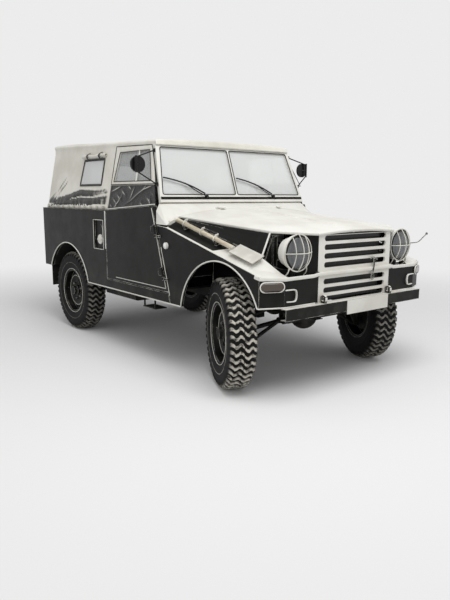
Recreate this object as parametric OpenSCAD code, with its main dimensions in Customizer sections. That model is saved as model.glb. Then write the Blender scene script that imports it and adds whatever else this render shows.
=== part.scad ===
// Army 4x4 car with a canvas top: ladder frame, wishbone suspension, steel tub,
// opening bonnet, doors and rear door, steered front wheels and a rear spare wheel.
// X runs forward, Y to the car's left and Z up. The origin is on the ground, under
// the middle of the car's outer box. The front wheels stand turned to the right.

/* [Overall] */
// Length from the bumper to the spare wheel
overall_len = 3710; // [3650:10:3760]
// From the front axle to the bumper's face
front_overhang = 530; // [520:5:560]
// Distance between the axles
wheelbase = 2400; // [2360:10:2420]
// Distance between the tyres' centres
track = 1400; // [1380:2:1420]
// Width over the body sides
body_w = 1648; // [1620:2:1680]
// Height of the waistline behind the doors
belt_z = 1190; // [1170:5:1200]
// Height of the roof canvas at the windscreen
roof_front_z = 1745; // [1720:5:1780]
// Height of the roof canvas at the back corners
roof_rear_z = 1800; // [1780:5:1850]

/* [Wheels] */
// Radius of the tyre
tyre_r = 385; // [365:1:400]
// Width of the tyre
tyre_w = 190; // [170:1:204]
// Radius of the rim's seat
rim_r = 206; // [200:1:212]
// How far the front wheels stand turned to the right, in degrees
steer = 24; // [0:1:28]
// From the wheel's centre plane in to the kingpin
kingpin_in = 70; // [64:1:76]

/* [Body] */
// Thickness of the doors
door_t = 40; // [25:1:50]
// Thickness of the side walls
wall_t = 30; // [20:1:36]
// Thickness of the wings' walls
wing_t = 20; // [10:1:24]
// Thickness of the bonnet
bonnet_t = 8; // [5:1:9]
// Gap round the doors
door_gap = 8; // [7:1:10]
// Radius of the front wheel arch
front_arch_r = 440; // [435:1:446]
// Radius of the rear wheel arch
rear_arch_r = 460; // [445:1:466]
// Half width of the nose that holds the grille
nose_hw = 368; // [350:2:380]
// Number of grille slots above the cross bar
upper_slots = 4; // [2:1:4]
// Number of grille slots below the cross bar
lower_slots = 3; // [1:1:3]
// Height of a grille slot
slot_h = 37; // [20:1:42]

/* [Chassis] */
// Width of a frame rail
rail_w = 60; // [50:1:66]
// Height of a frame rail
rail_h = 85; // [75:1:95]
// Underside of the frame rails
rail_z = 515; // [508:1:522]
// Radius of the rear tow pin's bore
tow_pin_r = 16; // [10:0.5:20]
// Radius of the bore in the front tow eyes
tow_eye_r = 15; // [10:0.5:18]

/* [Hidden] */
$fn = 64;

paint = "#26281f";
dark = "#171916";
canvas = "#d9d6cb";
black = "#121212";

x_front = overall_len / 2;
x_fa = x_front - front_overhang;
x_ra = x_fa - wheelbase;
hw = body_w / 2;
hub_z = tyre_r;
spare_gap = 20;
x_rear = -x_front + tyre_w + spare_gap;
kp_y = track / 2 - kingpin_in;
sill_z = 522;
door_z = 604;
belt_rise = 50;
fit = 0.3;
floor_z = rail_z + rail_h;
floor_t = 14;

// The doors' front edge is one sloping line.
edge_slope = 0.317;
edge_x0 = x_fa - 611;
function edge_x(z) = edge_x0 - edge_slope * (z - door_z);
x_door_r = x_fa - 1569;

// The wings' outer top edge falls towards the front; the top rises inwards from it.
wing_x0 = x_fa - 739;
wing_x1 = x_fa + 414;
wing_z0 = 1121;
wing_z1 = 838;
lip_z = 806;
x_nose = x_front - 49;
x_cowl = x_fa - 625;
x_fire = x_cowl - 22;
x_corner = x_fa + 284;
function lerp(a, b, t) = a + (b - a) * t;
function wing_z(x) = x < wing_x1 ? lerp(wing_z0, wing_z1, (x - wing_x0) / (wing_x1 - wing_x0))
  : lerp(wing_z1, lip_z, (x - wing_x1) / (x_nose - wing_x1));
function wing_rise(x) = x < x_corner ? 0.5 : max(0, 0.5 * (wing_x1 - x) / (wing_x1 - x_corner));
function wing_out(x) = x < wing_x1 ? hw : lerp(hw, front_hw, (x - wing_x1) / (x_nose - wing_x1));
function wing_in(x) = x < x_corner ? lerp(hw - 120, hw - 142, (x - x_cowl) / (x_corner - x_cowl))
  : lerp(hw - 142, front_hw - 62, (x - x_corner) / (x_nose - x_corner));
function wing_top(x, y) = wing_z(x) + wing_rise(x) * (hw - 24 - y);

module along_y(y0, y1) { translate([0, y1, 0]) rotate([90, 0, 0]) linear_extrude(y1 - y0) children(); }
module both() { children(); mirror([0, 1, 0]) children(); }
module on_side(s) { if (s > 0) children(); else mirror([0, 1, 0]) children(); }
module box(a, b) { translate(a) cube(b - a); }
module disc_y(x, z, y0, y1, r) { translate([x, y1, z]) rotate([90, 0, 0]) cylinder(h = y1 - y0, r = r); }
module disc_x(x, y, z, len, r) { translate([x, y, z]) rotate([0, 90, 0]) cylinder(h = len, r = r); }
// A round bar from point a to point b.
module bar(a, b, r) {
  d = b - a;
  translate(a) rotate([0, acos(d[2] / norm(d)), atan2(d[1], d[0])]) cylinder(h = norm(d), r = r);
}
// A closed sheet between two grids of points with the same numbers of rows and columns.
module sheet(outer, inner) {
  n = len(outer);
  m = len(outer[0]);
  k = n * m;
  pts = [for (g = [outer, inner]) for (row = g) for (p = row) p];
  top = [for (i = [0 : n - 2]) for (j = [0 : m - 2])
    each [[i * m + j, (i + 1) * m + j, (i + 1) * m + j + 1], [i * m + j, (i + 1)
      * m + j + 1, i * m + j + 1]]];
  under = [for (f = top) [f[2] + k, f[1] + k, f[0] + k]];
  loop = concat([for (j = [0 : m - 1]) j], [for (i = [1 : n - 1]) i * m + m - 1],
    [for (j = [m - 2 : -1 : 0]) (n - 1) * m + j], [for (i = [n - 2 : -1 : 1]) i * m]);
  q = len(loop);
  rim = [for (i = [0 : q - 1]) let (a = loop[i], b = loop[(i + 1) % q]) each [[a, b, b + k],
    [a, b + k, a + k]]];
  polyhedron(pts, concat(top, under, rim));
}

// ---- Chassis ----
rail_y = 330;
rail_in = rail_y - rail_w / 2;
rail_out = rail_y + rail_w / 2;
x_rail_f = x_front - 65;
x_rail_r = x_rear + 12;
module chassis_frame() color(dark) {
  both() difference() {
    box([x_rail_r, rail_in, rail_z], [x_rail_f, rail_out, rail_z + rail_h]);
    box([x_rail_r - 1, rail_in - 1, rail_z + 6], [x_rail_f + 1, rail_out - 6, rail_z + rail_h - 6]);
  }
  for (x = [x_rail_r, x_ra - 30, -100, x_fa - 30, x_rail_f - 80])
    box([x, -rail_out + 6 + fit, cross_low], [x + 60, rail_out - 6 - fit, rail_z + rail_h - 6 - fit]);
  both() for (x = [x_fa, x_ra], dx = [-130, 130])
    box([x + dx - 22, rail_in, rail_z - 80], [x + dx + 22, rail_out, rail_z - fit]);
  tow_hitch();
}

ball_h = 84;
ball_gap = 0.5;
// Upper and lower wishbones of the left wheel of the axle at x.
module wishbones(x) {
  low = hub_z - ball_h - 20;
  high = hub_z + ball_h + 14;
  union() {
    for (s = [-1, 1]) bar([x + s * 130, rail_out + 10, rail_z - 55], [x + s * 14, kp_y - 28, low], 13);
    translate([x, kp_y, low - 10]) cylinder(h = 30 - ball_gap, r = 24);
    for (s = [-1, 1]) disc_y(x + s * 130, rail_z - 55, rail_out + fit, rail_out + 24, 22);
  }
  union() {
    for (s = [-1, 1]) bar([x + s * 95, rail_out + 10, rail_z + 40], [x + s * 12, kp_y - 24, high], 11);
    translate([x, kp_y, hub_z + ball_h + ball_gap]) cylinder(h = 24, r = 24);
    for (s = [-1, 1]) disc_y(x + s * 95, rail_z + 40, rail_out + fit, rail_out + 22, 19);
  }
}
plate_y = kp_y + 30;
spindle_r = 18;
stay_r = 18;
// The upright between the ball joints, with the brake's backing plate and the wheel's spindle.
module upright(x, y) union() {
  translate([x, y, hub_z - ball_h]) cylinder(h = 2 * ball_h, r = 25);
  disc_y(x, hub_z, y, y + 31, 48);
  disc_y(x, hub_z, y + 30, y + 36, 146);
  disc_y(x, hub_z, y + 30, y + kingpin_in + 50, spindle_r);
}
module suspension() color(dark) {
  both() {
    wishbones(x_fa);
    wishbones(x_ra);
    upright(x_ra, kp_y);
  }
  disc_y(x_fa + 152 + stay_r + fit, rail_z - 60, -rail_out - 20, rail_out + 20, stay_r);
}
axle_z = rail_z - 85;
cross_low = rail_z + 20;
module drive_train() color(dark) {
  for (x = [x_fa, x_ra]) union() {
    translate([x, 0, axle_z]) sphere(r = cross_low - fit - axle_z);
    disc_y(x, axle_z, -170, 170, 46);
    both() bar([x, 150, axle_z - 3], [x, kp_y - 48, hub_z + 4], 16);
  }
  union() {
    box([x_fa - 960, -120, 420], [x_fa - 720, 120, 640]);
    translate([x_fa - 730, 0, 545]) rotate([0, 90, 0]) cylinder(h = 432 - fit, r1 = 85, r2 = 160);
  }
  bar([x_fa - 719, 0, 446], [x_fa - 103, 0, 436], 22);
  bar([x_ra + 103, 0, 436], [x_fa - 961, 0, 446], 26);
}
module engine_block() color(dark) box([x_fa - 298, -190, floor_z + 2], [x_fa + 330, 190, 960]);
module radiator() color(black) union() {
  box([x_nose - 84, -300, 640], [x_nose - 44, 300, 1046]);
  both() box([x_nose - 80, 240, floor_z + fit], [x_nose - 50, 310, 660]);
}
muffler_y = 500;
muffler_z = 480;
module exhaust() color(dark) union() {
  disc_x(x_ra + 560, muffler_y, muffler_z, 420, 60);
  bar([x_ra + 570, muffler_y, muffler_z], [x_ra + 500, muffler_y, muffler_z], 20);
  bar([x_ra + 500, muffler_y - 5, muffler_z], [x_ra + 480, hw - 50, muffler_z], 20);
  bar([x_ra + 970, muffler_y, muffler_z], [x_fa - 560, muffler_y - 60, muffler_z], 20);
  bar([x_fa - 565, muffler_y - 56, muffler_z], [x_fa - 440, 235, muffler_z], 20);
  bar([x_fa - 445, 245, muffler_z - 10], [x_fa - 280, 214, floor_z + 60], 20);
  for (x = [x_ra + 600, x_ra + 920]) box([x, muffler_y - 6, muffler_z + 50],
    [x + 24, muffler_y + 6, floor_z]);
}
module fuel_tank() color(dark) union() {
  hull() for (y = [-680, -440], z = [450, 560]) disc_x(x_ra + 560, y, z, 540, 24, $fn = 32);
  for (x = [x_ra + 640, x_ra + 980]) box([x, -660, 570], [x + 30, -460, floor_z]);
}

// ---- Tub ----
inner_y = track / 2 - tyre_w / 2 - 25;
box_t = 12;
rear_arch_top = 861;
front_arch_top = 892;
tunnel_x = x_fa - 1000;
module rear_arch(y0, y1, r) { disc_y(x_ra, rear_arch_top - rear_arch_r, y0, y1, r); }
module floor_pan() color(paint) difference() {
  union() {
    box([x_rear + wall_t + fit, -hw + wall_t + fit, floor_z + fit],
      [x_fire - fit, hw - wall_t - fit, floor_z + fit + floor_t]);
    both() rear_arch(inner_y - box_t, hw - wall_t - fit, rear_arch_r + box_t);
    box([tunnel_x, -170, floor_z + fit], [x_fire - fit, 170, 690]);
  }
  both() rear_arch(inner_y, hw, rear_arch_r);
  box([tunnel_x + 12, -158, 0], [x_fire + 1, 158, 678]);
  box([x_ra - 700, -hw, -200], [x_ra + 700, hw, floor_z + fit]);
  both() box([x_door_r - 2 * door_gap, hw - door_t - door_gap, 0], [x_fa, hw, 700]);
}
recess_x = x_ra + 586;
recess_z = 848;
// The side behind the door with the sill under it. The right side has the filler's recess.
module quarter_panel(s) color(paint) on_side(s) difference() {
  along_y(hw - wall_t, hw) polygon([
    [x_rear, 602], [x_rear, belt_z], [x_door_r - door_gap, belt_z], [x_door_r - door_gap, door_z - door_gap],
    [edge_x(door_z) + door_gap, door_z - door_gap], [edge_x(sill_z) + door_gap, sill_z],
    [x_ra, sill_z], [x_ra, 602]
  ]);
  rear_arch(hw - wall_t - 1, hw + 1, rear_arch_r);
  if (s < 0) box([recess_x, hw - 18, recess_z], [recess_x + 187, hw + 1, recess_z + 255]);
}
rear_door_hw = 430;
rear_door_z = 640;
rear_hinges = [740, 1070];
rear_pin_x = x_rear - 13;
rear_pin_y = -rear_door_hw - 4;
module rear_frame() color(paint) {
  difference() {
    box([x_rear, -hw + wall_t + fit, 602], [x_rear + wall_t, hw - wall_t - fit, belt_z]);
    box([x_rear - 1, -rear_door_hw - door_gap, rear_door_z - door_gap],
      [x_rear + wall_t + 1, rear_door_hw + door_gap, belt_z + 1]);
  }
  for (z = rear_hinges) {
    translate([rear_pin_x, rear_pin_y, z + 45 + fit]) cylinder(h = 20, r = 8);
    box([rear_pin_x - 6, rear_pin_y - 18, z + 45 + fit], [x_rear + 1, rear_pin_y - 3, z + 65 + fit]);
  }
}
// A small cube at each point, for hulls with sharp corners.
module dots(list) { for (p = list) translate(p) cube(0.5, center = true); }
cowl_edge = edge_x(1105) + 10;
cowl_low = wing_z(x_cowl) + 9;
function cowl_back(z) = lerp(cowl_edge, edge_x(1258) + 10, (z - 1105) / 153);
module cowl_hull(d) hull() both() dots([
  [edge_x(1258) + 10 + d, 760 - d, 1258 - d], [edge_x(1200) + 10 + d, hw - 24 - d, 1200 - d],
  [cowl_edge + d, hw - 4 - d, 1105], [x_cowl - 3 - d, hw - 10 - d, cowl_low],
  [x_cowl - 3 - d, 708 - d, 1162 - d], [x_cowl - 3 - d, 380 - d, 1206 - d], [x_cowl - 3 - d, 0, 1218 - d],
  [cowl_edge + d, 0, 1105], [x_cowl - 3 - d, 0, cowl_low]
]);
pin_x = x_cowl;
pin_z = 1226;
// A bonnet hinge's half between y0 and y1: its barrel and its leaf from x0 to x1.
module bonnet_hinge(y0, y1, x0, x1) {
  disc_y(pin_x, pin_z, y0, y1, 7);
  box([x0, y0, 1202], [x1, y1, pin_z]);
}
module cowl() color(paint) difference() {
  union() {
    both() bonnet_hinge(312 + fit, 338, pin_x - 32, pin_x - 3);
    difference() {
      cowl_hull(0);
      translate([0, 0, -20]) cowl_hull(14);
      translate([0, 0, -1]) cowl_hull(14);
    }
    box([x_fire, -372, 540], [x_cowl - 8, 372, cowl_low + 20]);
    box([x_fire, -hw + 60, 700], [x_cowl - 8, hw - 60, cowl_low + 20]);
  }
  box([x_fire - 1, -158, 0], [x_cowl, 158, 678]);
  both() box([x_fire - 1, rail_in - 6, 0], [x_cowl, rail_out + 6, floor_z + 4]);
}
dash_x = edge_x(1100) - 145;
module dashboard() color(paint) union() {
  box([dash_x, -740, 1020], [dash_x + 20, 740, 1165]);
  box([dash_x, -740, 1150], [cowl_back(1165) - 2 * fit, 740, 1165]);
}

// ---- Nose ----
front_hw = 672;
wing_rows = [x_cowl, x_cowl + 260, x_cowl + 520, x_cowl + 780, x_corner, wing_x1, x_nose];
wing_inner_y = 385;
function wing_row(x, d) = [
  [x, wing_out(x) - d, wing_z(x) - 20], [x, wing_out(x) - 7 - d * 0.7, wing_z(x) - 7 - d * 0.7],
  [x, wing_out(x) - 24 - d * 0.4, wing_z(x) - d], [x, wing_in(x), wing_top(x, wing_in(x)) - d]];
wing_bottom_z = 634;
wing_sheet_t = 8;
module front_wing(s) color(paint) on_side(s) difference() {
  union() {
    intersection() {
      translate([0, 0, 400]) linear_extrude(900) polygon([
        [x_cowl - 200, hw], [wing_x1, hw], [x_nose, front_hw], [x_nose, nose_hw + 1],
        [x_nose - wing_t, nose_hw + 1], [x_nose - wing_t, front_hw - 12], [wing_x1 - 12, hw - wing_t],
        [x_cowl - 200, hw - wing_t]
      ]);
      along_y(nose_hw - 10, hw) polygon([
        [edge_x(sill_z) + 2 * door_gap, sill_z], [edge_x(1095) + 2 * door_gap, 1095],
        [x_cowl, wing_z(x_cowl) - 8], [wing_x1, wing_z1 - 8], [x_nose - wing_t, lip_z - 8],
          [x_nose, lip_z - 8],
        [x_nose, wing_bottom_z],
        [x_fa + 300, wing_bottom_z], [x_fa + 300, sill_z]
      ]);
    }
    sheet([for (x = wing_rows) wing_row(x, 0)], [for (x = wing_rows) wing_row(x, wing_sheet_t)]);
    translate([0, 0, lip_z - 14]) linear_extrude(14) polygon([
      [x_corner - 16, wing_inner_y], [x_nose - 20, wing_inner_y], [x_nose - 20, nose_hw + 1],
        [x_nose, nose_hw + 1],
      [x_nose, front_hw - 2], [wing_x1, hw - 4], [x_corner - 16, hw - 4]
    ]);
    wheelhouse();
    for (z = door_hinges) hinge_lug(z);
    if (s < 0) for (x = [x_cowl + 150, x_cowl + 520]) on_wing(x, tool_y) box([-12, -20, -6],
      [12, 20, tool_h + 4]);
  }
  disc_y(x_fa, front_arch_top - front_arch_r, hw - 2 * wing_t, hw + 1, front_arch_r);
  if (s < 0) tool_handle(fit);
}
// The inner skin over and beside the steered wheel.
module wheelhouse() {
  along_y(wing_inner_y, wing_inner_y + 12) polygon([
    [x_cowl + 20, 620], [x_cowl + 20, 904], [x_corner - 5, 904], [x_corner - 5, 640], [x_corner - 80, 620]
  ]);
  box([x_cowl + 20, wing_inner_y, 896], [x_corner - 5, 690, 906]);
  along_y(676, 686) polygon([
    [x_cowl + 20, 900], [x_cowl + 20, wing_top(x_cowl + 20, 690) - 3],
    [x_corner - 5, wing_top(x_corner - 5, 690) - 3], [x_corner - 5, 900]
  ]);
  box([x_corner - 16, wing_inner_y, lip_z - 10], [x_corner - 5, 690, 906]);
  box([x_corner - 16, wing_inner_y, 640], [x_nose - 20, wing_inner_y + 12, lip_z - 10]);
  box([x_cowl - 8 + fit, wing_inner_y, 700], [x_cowl + 20, hw - wing_t + 1, wing_z(x_cowl + 20) - 6]);
}
slot_hw = 320;
slot_pitch = 57.5;
slot_top_z = 1049;
slot_low_z = 767;
nose_t = 14;
module slot(z) { hull() both() translate([x_nose - 60, slot_hw - slot_h / 2, z]) rotate([0, 90, 0])
  cylinder(h = 100, r = slot_h / 2, $fn = 32); }
nose_wall_z = 1064;
module grille_panel() color(paint) difference() {
  union() {
    box([x_nose - nose_t, -nose_hw, 622], [x_nose, nose_hw, nose_wall_z + 8]);
    box([x_nose - 1, -nose_hw - 30, lip_z + fit], [x_nose + 12, nose_hw + 30, lip_z + 32]);
    both() {
      translate([0, 0, lip_z + fit]) linear_extrude(nose_wall_z + 8 - lip_z) polygon([
        [x_nose, nose_hw], [x_corner + 10, 610], [x_corner - 4, 610], [x_corner - 4, 596],
          [x_nose - nose_t, nose_hw - 12]
      ]);
      translate([x_corner, 0, 0]) rotate([90, 0, 90]) linear_extrude(10) polygon([
        [600, lip_z + fit], [680, lip_z + fit], [672, 900], [608, nose_wall_z - 6], [600, nose_wall_z - 6]
      ]);
    }
  }
  both() disc_x(lamp_x - 140, lamp_y, lamp_z, 200, lamp_r + 2);
  for (i = [0 : upper_slots - 1]) slot(slot_top_z - i * slot_pitch);
  for (i = [0 : lower_slots - 1]) slot(slot_low_z - i * slot_pitch);
}
bumper_hw = 700;
bumper_z = 556;
bumper_h = 75;
bumper_d = 48;
eye_x = x_front - 24;
eye_z = bumper_z + bumper_h + 30;
eye_y = 340;
module tow_eye() difference() {
  along_y(eye_y - 9, eye_y + 9) hull() {
    translate([eye_x, eye_z]) circle(r = tow_eye_r + 9);
    translate([eye_x - 17, bumper_z + bumper_h - 3]) square([34, 2]);
  }
  disc_y(eye_x, eye_z, eye_y - 20, eye_y + 20, tow_eye_r);
}
number_t = 3;
number_y = 90;
number_hw = 220;
// A channel open to the rear, with the blank number plate on its face.
module front_bumper() color(dark) union() {
  difference() {
    box([x_front - bumper_d, -bumper_hw, bumper_z], [x_front - number_t, bumper_hw, bumper_z + bumper_h]);
    box([x_front - bumper_d - 1, -bumper_hw - 1, bumper_z + 5],
      [x_front - number_t - 5, bumper_hw + 1, bumper_z + bumper_h - 5]);
  }
  box([x_front - number_t - 1, number_y - number_hw, bumper_z - 21],
    [x_front, number_y + number_hw, bumper_z + bumper_h - 1]);
  both() {
    box([x_rail_f + fit, rail_in, bumper_z + 3], [x_front - number_t - 3, rail_out, rail_z + rail_h]);
    tow_eye();
  }
}

// ---- Lamps ----
lamp_y = 532;
lamp_z = 966;
lamp_x = x_fa + 441;
lamp_r = 112;
module headlamp() union() {
  translate([lamp_x - 120, lamp_y, lamp_z]) rotate([0, 90, 0]) rotate_extrude() polygon([
    [0, 0], [52, 4], [88, 40], [106, 96], [lamp_r, 104], [lamp_r, 128], [96, 134], [60, 142], [0, 146]
  ]);
  translate([lamp_x - 44, lamp_y, lip_z + fit]) cylinder(h = lamp_z - 90 - lip_z, r = 22);
}
corner_a = atan2(hw - front_hw, x_nose - wing_x1);
module corner_lamp() translate([(wing_x1 + x_nose) / 2, (hw + front_hw) / 2, lip_z - 44])
  rotate([0, 0, 90 - corner_a]) translate([fit, 0, 0]) rotate([0, 90, 0])
    hull() for (y = [-40, 40]) translate([0, y, 0]) cylinder(h = 16, r = 24, $fn = 32);
module lamps() color("#e8e6da") both() {
  headlamp();
  corner_lamp();
  disc_y(x_fa - 614, 953, hw + fit, hw + 14, 24);
  for (z = [800, 900]) disc_x(x_rear - 22, 690, z, 22 - fit, 36);
}

// ---- Windscreen ----
ws_z = 1301;
ws_x = edge_x(ws_z) + 7;
ws_slope = 149 / 412;
ws_lean = atan(ws_slope);
ws_len = (roof_front_z - 34 - ws_z) / cos(ws_lean);
ws_t = 28;
ws_bw = 762;
ws_tw = 704;
post_w = 34;
sill_h = 16;
function ws_back(z) = ws_x - ws_slope * (z - ws_z);
// Outline of one pane, shrunk by d all round.
module pane(d) polygon([
  [11 + d, sill_h + d], [ws_bw - post_w - d, sill_h + d],
  [ws_tw - post_w - d, ws_len - post_w - d], [11 + d, ws_len - post_w - d]
]);
module in_screen(t0, t1) translate([ws_x, 0, ws_z]) rotate([0, -ws_lean, 0])
  translate([t0, 0, 0]) rotate([90, 0, 90]) linear_extrude(t1 - t0) children();
module windscreen_frame() color(paint) difference() {
  in_screen(0, ws_t) polygon([[-ws_bw, -45], [ws_bw, -45], [ws_tw, ws_len], [-ws_tw, ws_len]]);
  both() in_screen(-1, ws_t + 1) pane(0);
}
// The canvas sides lean in from the waistline, the back leans forward.
lean = atan(103 / 523);
side_y = hw - 20;
module leaning(s, t0, t1) on_side(s) translate([0, side_y, belt_z]) rotate([lean, 0, 0])
  rotate([90, 0, 0]) translate([0, 0, t0]) linear_extrude(t1 - t0) children();
win_x0 = x_ra + 212;
win_x1 = x_ra + 642;
win_u0 = 220;
win_u1 = 448;
module side_window(d) polygon([
  [win_x0 + d, win_u0 + d], [win_x1 - d, win_u0 + d], [win_x1 - d, win_u1 - d], [win_x0 + 30 + d, win_u1 - d]
]);
canvas_t = 6;
rear_lean = 4.5;
module leaning_back(t0, t1) translate([x_rear + 8, 0, belt_z]) rotate([0, rear_lean, 0])
  translate([t0, 0, 0]) rotate([90, 0, 90]) linear_extrude(t1 - t0) children();
rear_win_hw = 300;
module rear_window(d) polygon([
  [-rear_win_hw + d, 250 + d], [rear_win_hw - d, 250 + d], [rear_win_hw - d, 450 - d],
    [-rear_win_hw + d, 450 - d]
]);
module window_glass() color("#b9c4c6", 0.4) {
  both() in_screen(ws_t / 2 - 3, ws_t / 2 + 3) pane(fit);
  for (s = [-1, 1]) leaning(s, 1.5, canvas_t - 1.5) side_window(fit);
  leaning_back(1.5, canvas_t - 1.5) rear_window(fit);
}
mirror_y = 908;
mirror_x = x_fa - 890;
mirror_r = 62;
function post_y(z) = lerp(ws_bw, ws_tw, (z - ws_z) / (ws_len * cos(ws_lean)));
// The arms end inside the upright bar and inside their feet on the windscreen's post.
module mirrors() color(dark) both() union() {
  translate([mirror_x, mirror_y, 1488]) cylinder(h = 124, r = 8);
  for (end = [[1660, 1600], [1400, 1500]]) {
    bar([ws_back(end[0]) + 15, post_y(end[0]) + 7, end[0]], [mirror_x, mirror_y, end[1]], 5);
    box([ws_back(end[0]) + 3, post_y(end[0]) + 2 + fit, end[0] - 14],
      [ws_back(end[0]) + 27, post_y(end[0]) + 12, end[0] + 14]);
  }
  bar([mirror_x - 28, mirror_y - 35, 1550], [mirror_x, mirror_y, 1550], 5);
  disc_x(mirror_x - 36, mirror_y - 30, 1550, 16, mirror_r);
}

// ---- Canvas top ----
x_roof_f = ws_back(roof_front_z) + 34;
x_roof_r = x_rear + 48;
roof_hw = 704;
crown_rear = 62;
crown_front = 14;
function roof_edge_z(x) = lerp(roof_rear_z, roof_front_z, (x - x_roof_r) / (x_roof_f - x_roof_r));
function crown(x) = lerp(crown_rear, crown_front, (x - x_roof_r) / (x_roof_f - x_roof_r));
// Height of the roof at x and at the share t of its half width.
function roof_z(x, t) = roof_edge_z(x) + crown(x) * (1 - pow(abs(t), 2.4));
roof_rows = 8;
roof_cols = 12;
skirt = 26;
function roof_row(x, d) = concat(
  [[x, roof_hw - d, roof_edge_z(x) - skirt]],
  [for (j = [0 : roof_cols]) let (t = 1 - 2 * j / roof_cols) [x, t * (roof_hw - d), roof_z(x, t) - d]],
  [[x, -roof_hw + d, roof_edge_z(x) - skirt]]);
function up(z) = (z - belt_z) / cos(lean);
module canopy() color(canvas) union() {
  sheet([for (i = [0 : roof_rows]) roof_row(lerp(x_roof_r, x_roof_f, i / roof_rows), 0)],
    [for (i = [0 : roof_rows]) roof_row(lerp(x_roof_r, x_roof_f, i / roof_rows), canvas_t)]);
  for (s = [-1, 1]) leaning(s, 0, canvas_t) difference() {
    polygon([[x_rear + 8, 1.6], [x_door_r - door_gap, 1.6],
      [x_door_r - door_gap, up(roof_edge_z(x_door_r)) - 1],
      [x_roof_r + 3, up(roof_rear_z) - 1]]);
    side_window(0);
  }
  leaning_back(0, canvas_t) difference() {
    polygon(concat([[-side_y + 1, 0.9], [side_y - 1, 0.9]],
      [for (j = [roof_cols : -1 : 0]) let (t = -1 + 2 * j / roof_cols)
        [t * (roof_hw - 18), (roof_z(x_roof_r, t) - 3 - belt_z) / cos(rear_lean)]]));
    rear_window(0);
  }
}
bow_r = 11;
bow_y = hw - wall_t - bow_r - 0.5;
bow_drop = canvas_t + bow_r + 5;
function unit(v) = v / norm(v);
function turn_left(v) = [-v[1], v[0]];
// The point at distance d beside point i of a path.
function beside(path, i, d) = let (
  n = len(path),
  a = turn_left(unit(path[max(i, 1)] - path[max(i, 1) - 1])),
  b = turn_left(unit(path[min(i + 1, n - 1)] - path[min(i + 1, n - 1) - 1])),
  m = unit(a + b)
) path[i] + m * d / (m * a);
// A square steel hoop under the canvas at x.
module bow(x) {
  z = roof_edge_z(x);
  half = [[bow_y, belt_z - 130], [bow_y, belt_z + 6], [roof_hw - 38, z - 56],
    [roof_hw * 0.74, roof_z(x, 0.74) - bow_drop - 8], [roof_hw * 0.36, roof_z(x, 0.36) - bow_drop]];
  path = concat(half, [for (i = [4 : -1 : 0]) [-half[i][0], half[i][1]]]);
  translate([x - bow_r, 0, 0]) rotate([90, 0, 90]) linear_extrude(2 * bow_r) polygon(concat(
    [for (i = [0 : 9]) beside(path, i, bow_r)], [for (i = [9 : -1 : 0]) beside(path, i, -bow_r)]));
}
module canopy_bows() color(dark) for (x = [x_door_r - 60, x_ra + 60, x_rear + 110]) bow(x);

// ---- Inside ----
seat_y = 370;
seat_x = x_door_r + 40;
seat_hw = 235;
seat_z = 800;
seat_floor = floor_z + floor_t + 2 * fit;
bench_z = 884;
module seat_back_pose() translate([seat_x - 24, 0, seat_z - 20]) rotate([0, -7, 0]) children();
module seat_frames() color(dark) both() {
  union() {
    for (y = [seat_y - 190, seat_y + 160], x = [seat_x - 14, seat_x + 370])
      box([x, y, seat_floor], [x + 30, y + 30, seat_z - 10]);
    box([seat_x - 24, seat_y - seat_hw, seat_z - 24], [seat_x + 420, seat_y + seat_hw, seat_z - fit]);
  }
  seat_back_pose() box([-14, seat_y - seat_hw, 21.9], [-fit, seat_y + seat_hw, 440]);
  box([x_rear + 130, inner_y - 190, seat_floor], [x_rear + 1190, inner_y - box_t - 1, bench_z - fit]);
}
module seat_cushions() color("#3a3a34") both() {
  box([seat_x + 66, seat_y - seat_hw, seat_z], [seat_x + 430, seat_y + seat_hw, seat_z + 110]);
  seat_back_pose() box([0, seat_y - seat_hw, 60], [80, seat_y + seat_hw, 500]);
  box([x_rear + 120, inner_y - 195, bench_z], [x_rear + 1190, inner_y + 150, bench_z + 60]);
}
sw_x = x_fa - 1085;
sw_y = 365;
sw_z = 1130;
sw_tilt = 50;
sw_hub = 38;
module at_wheel_axis() translate([sw_x, sw_y, sw_z]) rotate([0, -sw_tilt, 0]) children();
module steering_column() color(dark) union() {
  at_wheel_axis() translate([0, 0, -550]) cylinder(h = 550 - sw_hub - fit, r = 20);
  box([dash_x + 2, sw_y - 22, 975], [dash_x + 18, sw_y + 22, 1020 - fit]);
}
module steering_wheel() color(black) at_wheel_axis() union() {
  rotate_extrude() translate([205, 0]) circle(r = 12, $fn = 32);
  translate([0, 0, -sw_hub]) cylinder(h = sw_hub + 2, r = 26);
  for (a = [0, 120, 240]) rotate([0, 0, a]) bar([14, 0, -16], [203, 0, 0], 7);
}

// ---- Fittings ----
tool_y = hw - 84;
tool_h = 34;
wing_pitch = atan2(wing_z0 - wing_z1, wing_x1 - wing_x0);
module on_wing(x, y) { translate([x, y, wing_top(x, y)]) rotate([0, wing_pitch, 0]) rotate([-atan(0.5),
  0, 0]) children(); }
// The spade's round handle, grown by d.
module tool_handle(d) { on_wing(x_cowl + 24, tool_y) translate([0, 0, tool_h]) rotate([0, 90, 0])
  cylinder(h = 700, r = 15 + d); }
module pioneer_tools() color("#b8b5a8") mirror([0, 1, 0]) union() {
  tool_handle(0);
  on_wing(x_cowl + 24, tool_y) translate([0, 0, tool_h]) box([-10, -24, -11], [16, 56, 11]);
  on_wing(x_cowl + 700, tool_y) box([0, -60, tool_h - 8], [240, 40, tool_h - 2]);
}
module mudflaps() color(black) both() box([x_ra - 480, 600, 384], [x_ra - 472, hw - wall_t - fit, floor_z]);
module side_steps() color(dark) both() union() {
  box([x_fa - 995, hw - 120, 440], [x_fa - 809, hw - 14, 448]);
  for (x = [x_fa - 985, x_fa - 827]) box([x, hw - 28, 440], [x + 8, hw - 16, sill_z - fit]);
}
hitch_x = x_rear - 95;
hitch_z = 505;
hitch_h = 90;
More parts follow.
